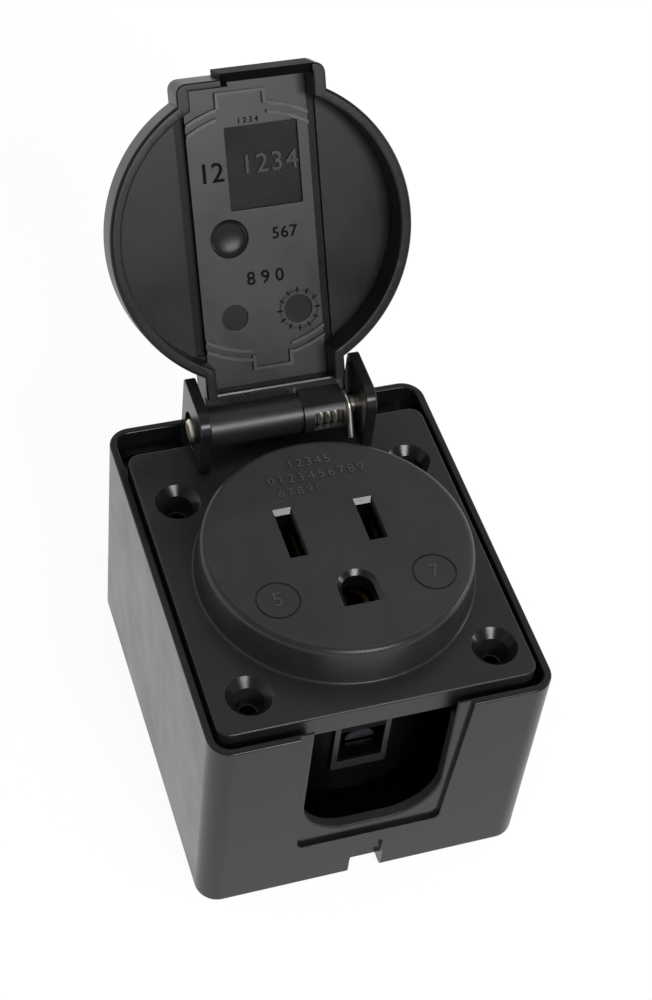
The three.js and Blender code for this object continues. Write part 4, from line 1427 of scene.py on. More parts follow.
@dataclass
class LidMoulding:
    """The lid with its dish, band, tab, neck, heel and barrel.

    It is drawn shut, with the hinge axis on the origin: x across, y minus the distance along the lid,
    z the rise above the axis. It is then turned open about the axis.
    """

    datum: Datum
    radius: float = 24.1
    lip_width: float = 1.8
    lip_rise: float = -1.4
    lip_edge: float = 0.55
    floor_rise: float = 4.3
    band_rise: float = 3.6
    skin: float = 1.6
    crown: float = 0.5
    edge_radius: float = 2.6
    band_width: float = 19.4
    groove_width: float = 1.6
    groove_depth: float = 0.6
    tab_width: float = 23.4
    tab_reach: float = 24.3
    tab_wall: float = 1.2
    tab_drop: float = 1.2
    tab_corner: float = 1.6
    tab_edges: Point = (0.3, 0.5)
    catch_left: float = -4.8
    catch_reach: float = 25.15
    catch_wall: float = 1.45
    catch_slope: float = 0.8
    catch_depth: float = 1.85
    neck_width: float = 22.8
    neck_rise: float = 5.2
    neck_edges: Point = (0.35, 0.4)
    dish_edge: float = 0.35
    passage_edge: float = 0.3
    web_right: float = 12.35
    web_outline: tuple[Point, ...] = ((-6.3, 2.5), (-1.0, 2.5), (-0.4, 3.2), (-0.4, 4.6), (-6.3, 4.6))
    sill_reach: float = 4.9
    sill_rise: float = 0.6
    bead_outline: tuple[Point, ...] = ((-0.12, 0.6), (-0.02, -0.24), (0.24, -0.3), (0.34, 0.6))
    arc_along: float = 29.0
    arc_radius: float = 20.25
    arc_width: float = 0.5
    arc_height: float = 0.6
    arc_root: float = 0.2
    arc_pitch: float = 1.4
    tongue: tuple[float, float, float, float] = (-4.8, 3.2, 48.9, 51.3)
    step: tuple[float, float, float, float] = (-2.4, 4.2, 7.1, 9.6)
    digits: tuple[Digits, ...] = (
        Digits("1234", (3.2, 39.6), 4.2, 0.3, 0.03, 1.15),
        Digits("12", (-6.3, 39.0), 4.3, 0.14, 0.03),
        Digits("567", (4.6, 28.5), 2.6, 0.14, 0.02, 1.1),
        Digits("8 9 0", (0.9, 21.8), 3.0, 0.14, 0.02),
        Digits("1 2 3 4", (0.2, 46.6), 1.2, 0.14, 0.01),
    )
    rib_first: float = -8.9
    rib_last: float = 2.3
    rib_pitch: float = 0.8
    rib_length: float = 2.0
    rib_width: float = 0.26
    rib_height: float = 0.3
    rib_edge: float = 0.08
    rib_along: float = 4.1
    rib_turn: float = 38.0
    dished_mark: tuple[float, float, float] = (-4.3, 28.6, 3.0)
    plain_mark: tuple[float, float, float] = (-4.55, 15.9, 2.1)
    dial_mark: tuple[float, float, float] = (5.9, 15.9, 2.25)
    mark_depth: float = 0.3
    mark_edge: float = 0.12
    bowl_depth: float = 0.75
    dial_ring: float = 3.1
    dial_ring_width: float = 0.3
    dial_ring_depth: float = 0.2
    dial_ticks: int = 12
    tick_reach: float = 0.45
    tick_half: float = 0.1
    tick_height: float = 0.12
    window_width: float = 11.6
    window_length: float = 12.9
    window_depth: float = 0.5
    window_corner: float = 0.2
    window_x: float = 2.2
    window_along: float = 39.3
    barrel_radius: float = 3.3
    barrel_left: float = -11.9
    barrel_right: float = 10.55
    barrel_bore: float = 1.6
    step_x: float = 3.3
    step_width: float = 0.5
    step_depth: float = 0.3
    coil_barrel_radius: float = 3.6
    coil_barrel_flat: float = 3.0
    coil_chamber: float = 2.65
    coil_chamber_left: float = 3.4
    slot_width: float = 4.8
    slot_height: float = 3.3
    slot_rise: float = 0.6
    slot_wall: float = 0.4
    slot_shift: float = 0.65
    slot_corner: float = 0.4
    heel_angle: float = 108.0
    heel_end: float = 1.0
    turned_edge: float = 0.2

    @property
    def along(self) -> float:
        """How far the dish's centre lies from the hinge axis."""
        return self.datum.hinge_y - self.datum.face_y

    @property
    def opened(self) -> Matrix:
        """Turns the shut lid open and puts it on its axis."""
        place = Matrix.Translation((0.0, self.datum.hinge_y, self.datum.hinge_z))
        return place @ Matrix.Rotation(math.radians(-self.datum.lid_angle), 4, "X")

    @property
    def upright(self) -> Matrix:
        """Turns something drawn in the open lid's position back into the shut lid's frame."""
        return Matrix.Rotation(math.radians(self.datum.lid_angle), 4, "X")

    def build(self, finishes: "Finishes") -> list[bpy.types.Object]:
        """Builds the moulding and puts it in the place of its CAD node.

        Args:
            finishes: Every finish on the object.

        Returns:
            The finished pieces.
        """
        lid = self._disc().join(self._tab(), self._neck())
        lid.cut(self._hollow(), self._lifted(), self._catch_face())
        lid.join(self._heel(), self._barrel(), self._coil_barrel(), self._web(), self._sill_bead(),
                 *self._arcs())
        lid.cut(*self._marks(), *self._barrel_cuts())
        lid.take(*self._digit_rows(), self._ribs(finishes.rib), self._ticks(finishes.band))
        lid.place(self.opened)
        piece = lid.finish("lid_moulding", finishes.lid, regions=self._regions(finishes))
        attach(piece, Body.LID.value)
        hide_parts("lid")
        return [piece]

    def _disc(self) -> Solid:
        """Builds the domed round plate with its rounded lip."""
        top = self.floor_rise + self.skin
        shoulder = self.radius - self.edge_radius
        lip = self.radius - self.lip_edge
        profile: Outline = [(0.0, self.lip_rise), (lip, self.lip_rise)]
        profile += arc((lip, self.lip_rise + self.lip_edge), self.lip_edge, 270, 360, steps=5)[1:]
        profile += arc((shoulder, top - self.edge_radius), self.edge_radius, 0, 90, steps=10)
        for i in range(1, 8):
            share = 1 - i / 8
            profile.append((shoulder * share, top + self.crown * (1 - share ** 2)))
        profile.append((0.0, top + self.crown))
        return turned(profile, (0.0, -self.along), steps=180)

    def _tab(self) -> Solid:
        """Builds the square tab that a finger lifts, whose catch side stands out a little further."""
        end, catch_end = self.along + self.tab_reach, self.along + self.catch_reach
        half, corner = self.tab_width / 2, self.tab_corner
        outline = arc((corner - half, corner - end), corner, 180, 270, steps=8)
        outline += [(self.catch_left, -end), (self.catch_left, -catch_end)]
        outline += arc((half - corner, corner - catch_end), corner, 270, 360, steps=8)
        outline += [(half, -self.along), (-half, -self.along)]
        top = self.floor_rise + self.skin - self.tab_drop
        return drawn_out(outline, Axis.Z, self.lip_rise, top, *self.tab_edges, 4)

    def _neck(self) -> Solid:
        """Builds the square neck between the dish and the barrel."""
        half = self.neck_width / 2
        outline = rounded_rectangle((-half, -self.along), (half, -PAST), 0.0)
        return drawn_out(outline, Axis.Z, self.lip_rise, self.neck_rise, *self.neck_edges, 3)

    def _hollow(self) -> Solid:
        """Makes the cut for the dish and the passages through the tab and the neck."""
        inner = self.radius - self.lip_width
        centre = (0.0, -self.along)
        half = self.band_width / 2
        far = self.along + self.tab_reach - self.tab_wall
        catch_far = self.along + self.catch_reach - self.catch_wall
        near = self.sill_reach
        dish = opening(circle(centre, inner, steps=180), Axis.Z, self.floor_rise, self.lip_rise,
                       self.dish_edge)
        dish.cut(block((-half, -far - PAST, self.band_rise), (half, -near + PAST, self.floor_rise + PAST)))
        turn = self.catch_left + self.tab_wall
        outline = [(-half, -far), (turn, -far), (turn, -catch_far), (half, -catch_far),
                   (half, -near), (-half, -near)]
        passage = opening(outline, Axis.Z, self.band_rise, self.lip_rise, self.passage_edge)
        grooves = []
        for side in (-1, 1):
            reach = math.sqrt(inner ** 2 - (half + self.groove_width) ** 2)
            low, high = sorted((side * half, side * (half + self.groove_width)))
            grooves.append(block((low, -self.along - reach, self.floor_rise - PAST),
                                 (high, -self.along + reach, self.floor_rise + self.groove_depth)))
        return dish.join(passage, *grooves)

    def _regions(self, finishes: "Finishes") -> list[Region]:
        """Lists the lid's other finishes, each with its test.

        Args:
            finishes: Every finish on the object.

        Returns:
            The regions; where two overlap, the later one holds.
        """
        half, band = self.band_width / 2, self.band_rise
        end = self.along + self.catch_reach
        across, deep = self.groove_width / 2, self.groove_depth / 2
        # The grooves beside the band get the near-black recess finish, which is painted shade.
        grooves = [(finishes.recess, self._inside(
            (side * (half + across), -self.along, self.floor_rise + deep),
            (across + 2 * SLIP, self.radius, deep + 2 * SLIP))) for side in (-1, 1)]
        middle = (self.catch_left + half) / 2
        side_reach = (half - self.catch_left) / 2 + SLACK
        web_middle = (self.barrel_right + self.web_right) / 2
        return [
            (finishes.band, self._at_rise(band, 0.12)),
            # The band's raised digits get the dark catch finish, which is painted shade.
            (finishes.catch, self._at_rise(band - 0.14, 0.02)),
            # The arcs' tops get the rib finish, which is a painted highlight.
            (finishes.rib, self._at_rise(band - self.arc_height, 0.3)),
            (finishes.window, self._at_rise(band + self.window_depth, 0.06)),
            # The window digits' tops get the lighter housing finish, which is a painted highlight.
            (finishes.housing, self._at_rise(band + self.window_depth - self.digits[0].height, 0.02)),
            (finishes.ear, self._at_rise(band + self.mark_depth, 0.04)),
            *grooves,
            # The catch's outer face gets the catch finish, which is painted shade.
            (finishes.catch, self._inside((middle, self.catch_wall / 2 - end, 1.5),
                                          (side_reach, self.catch_wall / 2 + 0.25, 3.0))),
            # The barrel and the sill's bead get the barrel finish, which is a painted highlight.
            (finishes.barrel, self._inside((0.0, 0.0, 0.0), (12.0, 3.8, 3.8))),
            # The web's faces get the recess finish, which paints shade in the gap beside the right ear.
            (finishes.recess, self._inside((web_middle + 0.6, -3.4, 3.6), (0.7, 3.2, 1.4))),
            (finishes.barrel, self._inside((0.0, -self.sill_reach, self.sill_rise), (half, 0.35, 0.42))),
        ]

    def _inside(self, middle: Sequence[float], reach: Sequence[float]) -> Test:
        """Makes a test of whether a point on the open lid lies in a block that is drawn on the shut lid.

        Args:
            middle: The block's middle.
            reach: How far it reaches from there each way.

        Returns:
            The test.
        """
        shut = self.opened.inverted()

        def holds(point: Vector) -> bool:
            """Tells whether the point lies there."""
            there = shut @ point
            return all(abs(there[i] - middle[i]) < reach[i] for i in range(3))

        return holds

    def _at_rise(self, rise: float, slack: float) -> Test:
        """Makes a test of whether a point on the open lid lies on the band at a rise, between the cheeks.

        Args:
            rise: The rise above the hinge axis.
            slack: How far off it a point may lie.

        Returns:
            The test.
        """
        near, far = self.sill_reach - SLACK, self.along + self.tab_reach
        return self._inside((0.0, -(near + far) / 2, rise),
                            (self.band_width / 2 + SLACK / 2, (far - near) / 2, slack))

    def _catch_face(self) -> Solid:
        """Makes the cut that slopes the catch's face, from its crisp outer edge down to the band."""
        lean = self.catch_slope / self.catch_wall
        crisp = -self.along - self.catch_reach
        outer, inner = crisp - PAST, crisp + self.catch_depth
        low, foot = self.lip_rise, self.lip_rise - 2 * PAST
        outline = [(outer, foot), (inner, foot), (inner, low + lean * (inner - crisp)),
                   (outer, low - lean * PAST)]
        return drawn_out(outline, Axis.X, self.catch_left - SLIP, self.band_width / 2)

    def _web(self) -> Solid:
        """Builds the web behind the neck that fills the gap beside the right ear."""
        return drawn_out(list(self.web_outline), Axis.X, self.barrel_right - 5 * OVERLAP, self.web_right)

    def _sill_bead(self) -> Solid:
        """Builds the narrow bevelled strip along the sill's edge."""
        outline = [(y - self.sill_reach, z + self.sill_rise) for y, z in self.bead_outline]
        half = self.band_width / 2
        return drawn_out(outline, Axis.X, -half + SLIP, half - 3 * OVERLAP)

    def _digit_rows(self) -> list[Solid]:
        """Raises rows of plain digits in the sunken window and on the band."""
        over = Matrix.Rotation(math.pi, 4, "X")
        rows = []
        for index, row in enumerate(self.digits):
            level = self.band_rise + (self.window_depth if index == 0 else 0.0)
            rows.append(row.build(Matrix.Translation((0.0, 0.0, level)) @ over))
        return rows

    def _ribs(self, material: Material) -> Solid:
        """Stands the slanting ribs on the sill beside the barrel.

        Args:
            material: The ribs' finish.

        Returns:
            The ribs.
        """
        half, wide = self.rib_length / 2, self.rib_width / 2
        outline = rounded_rectangle((-half, -wide), (half, wide), self.rib_edge, steps=2)
        rib = drawn_out(outline, Axis.Z, -self.rib_height, OVERLAP, self.rib_edge, 0.0, steps=2)
        count = int((self.rib_last - self.rib_first) / self.rib_pitch) + 1
        places = [Vector((self.rib_first + i * self.rib_pitch, -self.rib_along, self.sill_rise))
                  for i in range(count)]
        return copies_of(rib, places, [math.radians(self.rib_turn)] * count, material, "sill_ribs")

    def _ticks(self, material: Material) -> Solid:
        """Stands the ticks round the dial mark.

        Args:
            material: The ticks' finish.

        Returns:
            The ticks.
        """
        x, along, _ = self.dial_mark
        tick = block((self.dial_ring - self.tick_reach, -self.tick_half, -self.tick_height),
                     (self.dial_ring + self.tick_reach, self.tick_half, OVERLAP))
        turns = [math.tau * i / self.dial_ticks for i in range(self.dial_ticks)]
        places = [Vector((x, -along, self.band_rise)) for _ in turns]
        return copies_of(tick, places, turns, material, "dial_ticks")

    def _lifted(self) -> Solid:
        """Makes the cut that lifts the neck's underside clear of the barrel."""
        reach = self.neck_width / 2 + PAST
        return block((-reach, -self.sill_reach, self.lip_rise - PAST),
                     (reach, self.sill_reach, self.sill_rise))

    def _heel(self) -> Solid:
        """Builds the solid heel that carries the barrel and meets its stop when open."""
        end = math.radians(self.heel_angle)
        outline: Outline = [(-self.sill_reach, self.sill_rise), (0.0, self.sill_rise),
                            (self.barrel_radius * math.sin(end - math.pi / 2), self.heel_end)]
        outline += arc((0.0, 0.0), self.neck_rise, 180 - self.heel_angle, 90, steps=8)
        outline += [(-self.sill_reach, self.neck_rise)]
        return drawn_out(outline, Axis.X, -self.neck_width / 2, self.barrel_right,
                         self.turned_edge, self.turned_edge, steps=2)

    def _barrel(self) -> Solid:
        """Builds the plain part of the barrel."""
        return rod(Axis.X, (0.0, 0.0), self.barrel_radius, self.barrel_left, self.step_x, steps=72, edge=0.25)

    def _coil_barrel(self) -> Solid:
        """Builds the wider part of the barrel, with its flat, that houses the spring's coil."""
        part = rod(Axis.X, (0.0, 0.0), self.coil_barrel_radius, self.step_x - SLIP, self.barrel_right,
                   steps=72, edge=self.turned_edge)
        reach = math.sqrt(self.coil_barrel_radius ** 2 - self.coil_barrel_flat ** 2) + OVERLAP
        flat = block((self.step_x - PAST, -reach, self.coil_barrel_flat),
                     (self.barrel_right + PAST, reach, self.coil_barrel_flat + PAST))
        return part.cut(flat.place(self.upright))

    def _barrel_cuts(self) -> list[Solid]:
        """Makes the cuts for the pin, the coil, the coil's window and the groove between the two parts."""
        end = self.neck_width / 2 + PAST
        axis = (0.0, 0.0)
        middle = (self.step_x + self.barrel_right) / 2 + self.slot_shift
        wide, high = self.slot_width / 2, self.slot_height / 2
        outline = rounded_rectangle((middle - wide, self.slot_rise - high),
                                    (middle + wide, self.slot_rise + high), self.slot_corner, steps=4)
        window = opening(outline, Axis.Y, -self.slot_wall, -self.coil_barrel_radius, self.turned_edge,
                         steps=2)
        room = self.coil_barrel_radius + PAST
        low, high = self.step_x - self.step_width / 2, self.step_x + self.step_width / 2
        groove = rod(Axis.X, axis, room, low, high, steps=72)
        groove.cut(rod(Axis.X, axis, self.barrel_radius - self.step_depth, low - PAST, high + PAST, steps=72))
        groove.keep(block((low - PAST, -room, -room), (high + PAST, room, self.sill_rise)))
        return [rod(Axis.X, axis, self.barrel_bore, self.barrel_left - PAST, end, steps=40),
                rod(Axis.X, axis, self.coil_chamber, self.coil_chamber_left, end, steps=48),
                window.place(self.upright), groove]

    def _arcs(self) -> list[Solid]:
        """Builds the double ribs that cross the band at both ends, with a square tongue and a step."""
        centre = (0.0, -self.arc_along)
        low, top = self.band_rise - self.arc_height, self.band_rise + self.arc_root
        half, reach = self.band_width / 2, self.along + self.radius
        far_left, far_right, far_start, far_end = self.tongue
        near_left, near_right, near_end, near_start = self.step
        parts = []
        for radius in (self.arc_radius, self.arc_radius - self.arc_pitch):
            ring = ring_groove(centre, radius, self.arc_width, top, top - low, steps=180)
            ring.keep(block((-half, -reach, low - PAST),
                            (half, -self.along + self.radius, self.band_rise + PAST)))
            ring.cut(block((far_left, -reach, low - PAST), (far_right, -self.along, top + PAST)),
                     block((near_left, -self.along, low - PAST), (near_right, -PAST, top + PAST)))
            parts.append(ring)
        parts.append(self._square_rib(far_left, far_right, far_start, far_end))
        parts.append(self._square_rib(near_left, near_right, near_start, near_end))
        return parts

    def _square_rib(self, left: float, right: float, start: float, end: float) -> Solid:
        """Builds a rib round three sides of a rectangle on the band, from start to end along the lid.

        Args:
            left: Where the rib's left side stands.
            right: Where its right side stands.
            start: Where it starts along the lid, open.
            end: Where it ends, closed.

        Returns:
            The rib.
        """
        low, top = self.band_rise - self.arc_height, self.band_rise + self.arc_root
        width = self.arc_width
        first, last = sorted((-start, -end))
        outer = block((left, first, low), (right, last, top))
        inner_low = first + width if end > start else first - PAST
        inner_high = last + PAST if end > start else last - width
        return outer.cut(block((left + width, inner_low, low - PAST),
                               (right - width, inner_high, top + PAST)))

    def _marks(self) -> list[Solid]:
        """Makes the cuts for the sunken window, the dished and plain marks and the dial."""
        band = self.band_rise
        low = (self.window_x - self.window_width / 2, -self.window_along - self.window_length / 2)
        high = (self.window_x + self.window_width / 2, -self.window_along + self.window_length / 2)
        window = rounded_rectangle(low, high, self.window_corner, steps=2)
        marks = [opening(window, Axis.Z, band + self.window_depth, band, self.mark_edge, steps=2),
                 self._bowl()]
        for x, along, radius in (self.plain_mark, self.dial_mark):
            disc = circle((x, -along), radius, steps=48)
            marks.append(opening(disc, Axis.Z, band + self.mark_depth, band, self.mark_edge, steps=2))
        x, along, _ = self.dial_mark
        marks.append(ring_groove((x, -along), self.dial_ring, self.dial_ring_width,
                                 band + self.dial_ring_depth, 2 * self.dial_ring_depth))
        return marks

    def _bowl(self) -> Solid:
        """Makes the cut for the dished mark."""
        x, along, radius = self.dished_mark
        mouth, side = self.band_rise - PAST, self.band_rise + OVERLAP
        profile: Outline = [(0.0, mouth), (radius + OVERLAP, mouth),
                            (radius + OVERLAP, self.band_rise - SLIP), (radius, side)]
        for angle in range(10, 90, 10):
            turn = math.radians(angle)
            profile.append((radius * math.cos(turn), side + self.bowl_depth * math.sin(turn)))
        profile.append((0.0, side + self.bowl_depth))
        return turned(profile, (x, -along), steps=72)


# Pin and spring


@dataclass
class HingePin:
    """The bright steel pin that the lid turns on, with a rounded head at its left end."""

    datum: Datum
    radius: float = 1.4
    right_end: float = 14.7
    end_edge: float = 0.3
    head_radius: float = 1.85
    head_foot: float = -14.0
    head_top: float = -14.8
    head_round: float = 0.6
    head_crown: float = 0.04
    head_bevel: float = 0.05

    def build(self, finishes: "Finishes") -> list[bpy.types.Object]:
        """Builds the pin and puts it in the place of its CAD node.

        Args:
            finishes: Every finish on the object.

        Returns:
            The finished pieces.
        """
        place = Matrix.Translation((0.0, self.datum.hinge_y, self.datum.hinge_z))
        laid = Matrix.Rotation(math.radians(90), 4, "Y")
        pin = turned(self._profile(), (0.0, 0.0), steps=64).place(place @ laid)
        piece = pin.finish("hinge_pin_bar", finishes.pin)
        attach(piece, Body.SOCKET.value)
        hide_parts("hinge_pin")
        return [piece]

    def _profile(self) -> Outline:
        """Draws the pin's half section, from the head's top to the plain end."""
        crown = self.head_radius - self.head_round
        shoulder, foot = self.head_top + self.head_crown, self.head_foot
        profile: Outline = [(0.0, self.head_top), (crown * 0.6, self.head_top + SLIP), (crown, shoulder)]
        profile += arc((crown, shoulder + self.head_round), self.head_round, -80, 0, steps=7)
        profile += [(self.head_radius, foot - self.head_bevel), (self.head_radius - self.head_bevel, foot),
                    (self.radius + 2 * self.head_bevel, foot), (self.radius, foot + 2 * self.head_bevel)]
        bevel = (self.radius - self.end_edge, self.right_end - self.end_edge)
        profile += arc(bevel, self.end_edge, 0, 90, steps=4)
        profile += [(0.0, self.right_end)]
        return profile


@dataclass
class LidSpring:
    """The torsion spring round the pin: a leg in the lid, the coil, and a leg down to the flange."""

    datum: Datum
    wire_radius: float = 0.48
    coil_radius: float = 2.08
    turns: float = 6.0
    length: float = 7.3
    right_x: float = 11.35
    lid_leg: float = 2.0
    leg_angle: float = 29.2
    leg_gap: float = 0.3
    steps_a_turn: int = 36

    def build(self, finishes: "Finishes") -> list[bpy.types.Object]:
        """Builds the spring and puts it in the place of its CAD node.

        Args:
            finishes: Every finish on the object.

        Returns:
            The finished pieces.
        """
        spring = wire_along(self._line(), self.wire_radius, finishes.wire, "spring_wire")
        piece = spring.finish("lid_spring_wire", finishes.wire, 60.0)
        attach(piece, Body.SOCKET.value)
        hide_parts("lid_spring")
        return [piece]

    def _line(self) -> list[Vector]:
        """Works out the wire's middle line."""
        axis = Vector((0.0, self.datum.hinge_y, self.datum.hinge_z))
        start = math.radians(self.datum.lid_angle + 30)
        end = math.pi - math.radians(self.leg_angle) + self.turns * math.tau
        count = round((end - start) / math.tau * self.steps_a_turn)
        coil = []
        for i in range(count + 1):
            angle = start + (end - start) * i / count
            x = self.right_x - self.length * (1 - i / count)
            coil.append(Vector((x, self.coil_radius * math.cos(angle), self.coil_radius * math.sin(angle))))
        leg_up = Vector((0.0, math.sin(start), -math.cos(start)))
        leg_down = Vector((0.0, -math.sin(end), math.cos(end)))
        above = self.datum.hinge_z - self.datum.flange_top
        drop = above - self.wire_radius - self.leg_gap + self.coil_radius * math.sin(end)
        first = coil[0] + leg_up * self.lid_leg
        last = coil[-1] + leg_down * (drop / -leg_down.z)
        return [point + axis for point in [first, *coil, last]]


# Terminals


@dataclass
class Terminals:
    """The three terminal screws in their ports, the ports' frames, and the carrier's two screws."""

    datum: Datum
    height: float = 24.4
    blade_y: float = 3.5
    head_start: float = 17.8
    head_end: float = 19.5
    head_radius: float = 2.7
    head_round: float = 0.5
    shank_radius: float = 1.7
    shank_start: float = 12.4
    shank_edge: float = 0.5
    thread_pitch: float = 0.8
    thread_depth: float = 0.25
    thread_start: float = 0.4
    thread_end: float = 0.2
    head_bevel: float = 0.1
    slot_width: float = 0.8
    slot_depth: float = 0.8
    port_reach: float = 20.32
    port_half: float = 3.5
    port_low: float = 20.6
    port_high: float = 36.6
    frame_half: float = 4.5
    frame_foot: float = 18.4
    frame_depth: float = 0.3
    frame_corner: float = 0.25
    frame_edge: float = 0.12
    port_edge: float = 0.2
    carrier_screw_x: float = 10.6
    carrier_screw_y: float = -10.4
    carrier_head_low: float = 12.2
    carrier_head_high: float = 14.0
    carrier_head_radius: float = 2.6
    carrier_head_round: float = 0.7
    carrier_shank_radius: float = 1.3
    carrier_thread_depth: float = 0.2
    carrier_thread_start: float = 0.6
    carrier_tip: float = 43.0
    carrier_tip_radius: float = 0.3
    carrier_tip_length: float = 1.0
    cross_half: float = 0.35
    cross_depth: float = 1.0

    def build(self, finishes: "Finishes") -> list[bpy.types.Object]:
        """Builds the screws in the place of their CAD nodes, and the frames on the carrier's towers.

        Args:
            finishes: Every finish on the object.

        Returns:
            The finished pieces.
        """
        turns = [math.pi, 0.0, -math.pi / 2]
        blades = self.datum.face_y + self.blade_y
        places = [Vector((0.0, blades, self.height)), Vector((0.0, blades, self.height)),
                  Vector((0.0, self.datum.face_y, self.height))]
        screws = copies_of(self._terminal_screw(), places, turns, finishes.screw, "terminal_screws")
        screws = screws.finish("terminal_screws", finishes.screw)
        # The frames are the carrier's tower fronts in the lighter housing plastic, a painted highlight
        # against the shaded carrier.
        frames = copies_of(self._port_frame(), places, turns, finishes.housing, "port_frames")
        frames = frames.finish("port_frames", finishes.housing)
        low = Vector((0.0, self.datum.face_y + self.carrier_screw_y, 0.0))
        places = [low + Vector((side * self.carrier_screw_x, 0.0, 0.0)) for side in (-1, 1)]
        holders = copies_of(self._carrier_screw(), places, [0.3, 1.1], finishes.zinc, "carrier_screws")
        holders = holders.finish("carrier_screws", finishes.zinc)
        for piece, slot in ((screws, "plated_steel"), (frames, "carrier_plastic"), (holders, "plated_steel")):
            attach(piece, Body.SOCKET.value)
        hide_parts("neutral_terminal_screw", "line_terminal_screw", "ground_terminal_screw")
        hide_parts("carrier_screw_left", "carrier_screw_right")
        return [screws, frames, holders]

    def _terminal_screw(self) -> Solid:
        """Builds a slotted screw that lies along x, with its head outwards."""
        root = self.shank_radius - self.thread_depth
        profile: Outline = [(0.0, self.shank_start), (self.shank_radius - self.shank_edge, self.shank_start)]
        profile += self._thread(root, self.shank_radius, self.shank_start + self.thread_start,
                                self.head_start - self.thread_end)
        profile += [(root, self.head_start), (self.head_radius - self.head_bevel, self.head_start),
                    (self.head_radius, self.head_start + self.head_bevel)]
        shoulder = (self.head_radius - self.head_round, self.head_end - self.head_round)
        profile += arc(shoulder, self.head_round, 0, 78, steps=5)
        profile += [(self.head_radius * 0.4, self.head_end - SLIP / 2), (0.0, self.head_end)]
        screw = turned(profile, (0.0, 0.0), steps=48).place(Matrix.Rotation(math.radians(90), 4, "Y"))
        past = self.head_radius + PAST
        return screw.cut(block((self.head_end - self.slot_depth, -past, -self.slot_width / 2),
                               (self.head_end + PAST, past, self.slot_width / 2)))

    def _thread(self, root: float, crest: float, start: float, end: float) -> Outline:
        """Draws the half section of a thread between two heights.

        Args:
            root: The thread's least radius.
            crest: Its greatest radius.
            start: Where it starts.
            end: Where it has to end.

        Returns:
            The half section.
        """
        profile: Outline = []
        along = start
        while along + self.thread_pitch < end:
            profile += [(root, along), (crest, along + self.thread_pitch / 2)]
            along += self.thread_pitch
        return profile

    def _port_frame(self) -> Solid:
        """Builds the frame round a port, drawn about the screw's height, that faces along x."""
        low, high = self.frame_foot - self.height, self.port_high - self.height
        back, front = self.port_reach - self.frame_depth, self.port_reach
        outline = rounded_rectangle((-self.frame_half, low), (self.frame_half, high), self.frame_corner,
                                    steps=3)
        port = rounded_rectangle((-self.port_half, self.port_low - self.height),
                                 (self.port_half, high + PAST), 0.0)
        frame = drawn_out(outline, Axis.X, back, front, 0.0, self.frame_edge, steps=3)
        return frame.cut(opening(port, Axis.X, back - PAST, front, self.port_edge, steps=3))

    def _carrier_screw(self) -> Solid:
        """Builds an upright screw with a rounded head below and a cross recess in it."""
        low, high = self.carrier_head_low, self.carrier_head_high
        edge, shank = self.carrier_head_round, self.carrier_shank_radius
        root, tip = shank - self.carrier_thread_depth, self.carrier_tip - self.carrier_tip_length
        shoulder = self.carrier_head_radius - edge
        profile: Outline = [(0.0, low), (shoulder, low + 2 * SLIP)]
        profile += arc((shoulder, low + 2 * SLIP + edge), edge, -80, 0, steps=5)
        profile += [(self.carrier_head_radius, high), (shank, high + 2 * SLIP)]
        profile += self._thread(root, shank, high + self.carrier_thread_start, tip)
        profile += [(root, tip), (self.carrier_tip_radius, self.carrier_tip), (0.0, self.carrier_tip)]
        screw = turned(profile, (0.0, 0.0), steps=40)
        reach, half = self.carrier_head_radius / 1.7, self.cross_half
        foot, top = low - PAST, low + self.cross_depth
        return screw.cut(block((-reach, -half, foot), (reach, half, top)),
                         block((-half, -reach, foot), (half, reach, top)))


# The stage


@dataclass(frozen=True)
class PhotoCamera:
    """The camera that took the photograph, found from the box's corners and the four holes."""

    position: tuple[float, float, float] = (-81.05, -187.29, 286.34)
    forward: tuple[float, float, float] = (0.25867, 0.59903, -0.75779)
    right: tuple[float, float, float] = (0.95025, -0.29873, 0.08821)
    focal_pixels: float = 2079.4
    middle_pixels: Point = (326.9, 518.7)
    image_pixels: Point = (652.0, 1000.0)
    sensor_height: float = 24.0

    def build(self) -> bpy.types.Object:
        """Builds the camera and makes it the scene's own.

        Returns:
            The camera.
        """
        width, height = self.image_pixels
        data = bpy.data.cameras.new("photo_camera")
        data.sensor_fit = "VERTICAL"
        data.sensor_height = self.sensor_height
        data.lens = self.sensor_height * self.focal_pixels / height
        data.shift_x = (width / 2 - self.middle_pixels[0]) / height
        data.shift_y = (self.middle_pixels[1] - height / 2) / height
        data.clip_start = 0.01
        data.clip_end = 20.0
        camera = bpy.data.objects.new("photo_camera", data)
        forward = Vector(self.forward).normalized()
        right = Vector(self.right)
        right = (right - forward * right.dot(forward)).normalized()
        up = right.cross(forward)
        turn = Matrix((right, up, -forward)).transposed().to_4x4()
        camera.matrix_world = Matrix.Translation(Vector(self.position) * MM) @ turn
        bpy.context.scene.collection.objects.link(camera)
        bpy.context.scene.camera = camera
        return camera


@dataclass(frozen=True)
class Lamp:
    """A soft box of light that faces the object."""

    name: str
    position: tuple[float, float, float]
    width: float
    height: float
    power: float
    aim: tuple[float, float, float] = (0.0, 0.0, 30.0)
    colour: tuple[float, float, float] = (1.0, 1.0, 1.0)

    def build(self) -> bpy.types.Object:
        """Builds the lamp.

        Returns:
            The lamp.
        """
        data = bpy.data.lights.new(self.name, "AREA")
        data.shape = "RECTANGLE"
        data.size = self.width * MM
        data.size_y = self.height * MM
        data.energy = self.power
        data.color = self.colour
        lamp = bpy.data.objects.new(self.name, data)
        place = Vector(self.position)
        turn = (Vector(self.aim) - place).to_track_quat("-Z", "Y").to_matrix().to_4x4()
        lamp.matrix_world = Matrix.Translation(place * MM) @ turn
        bpy.context.scene.collection.objects.link(lamp)
        return lamp


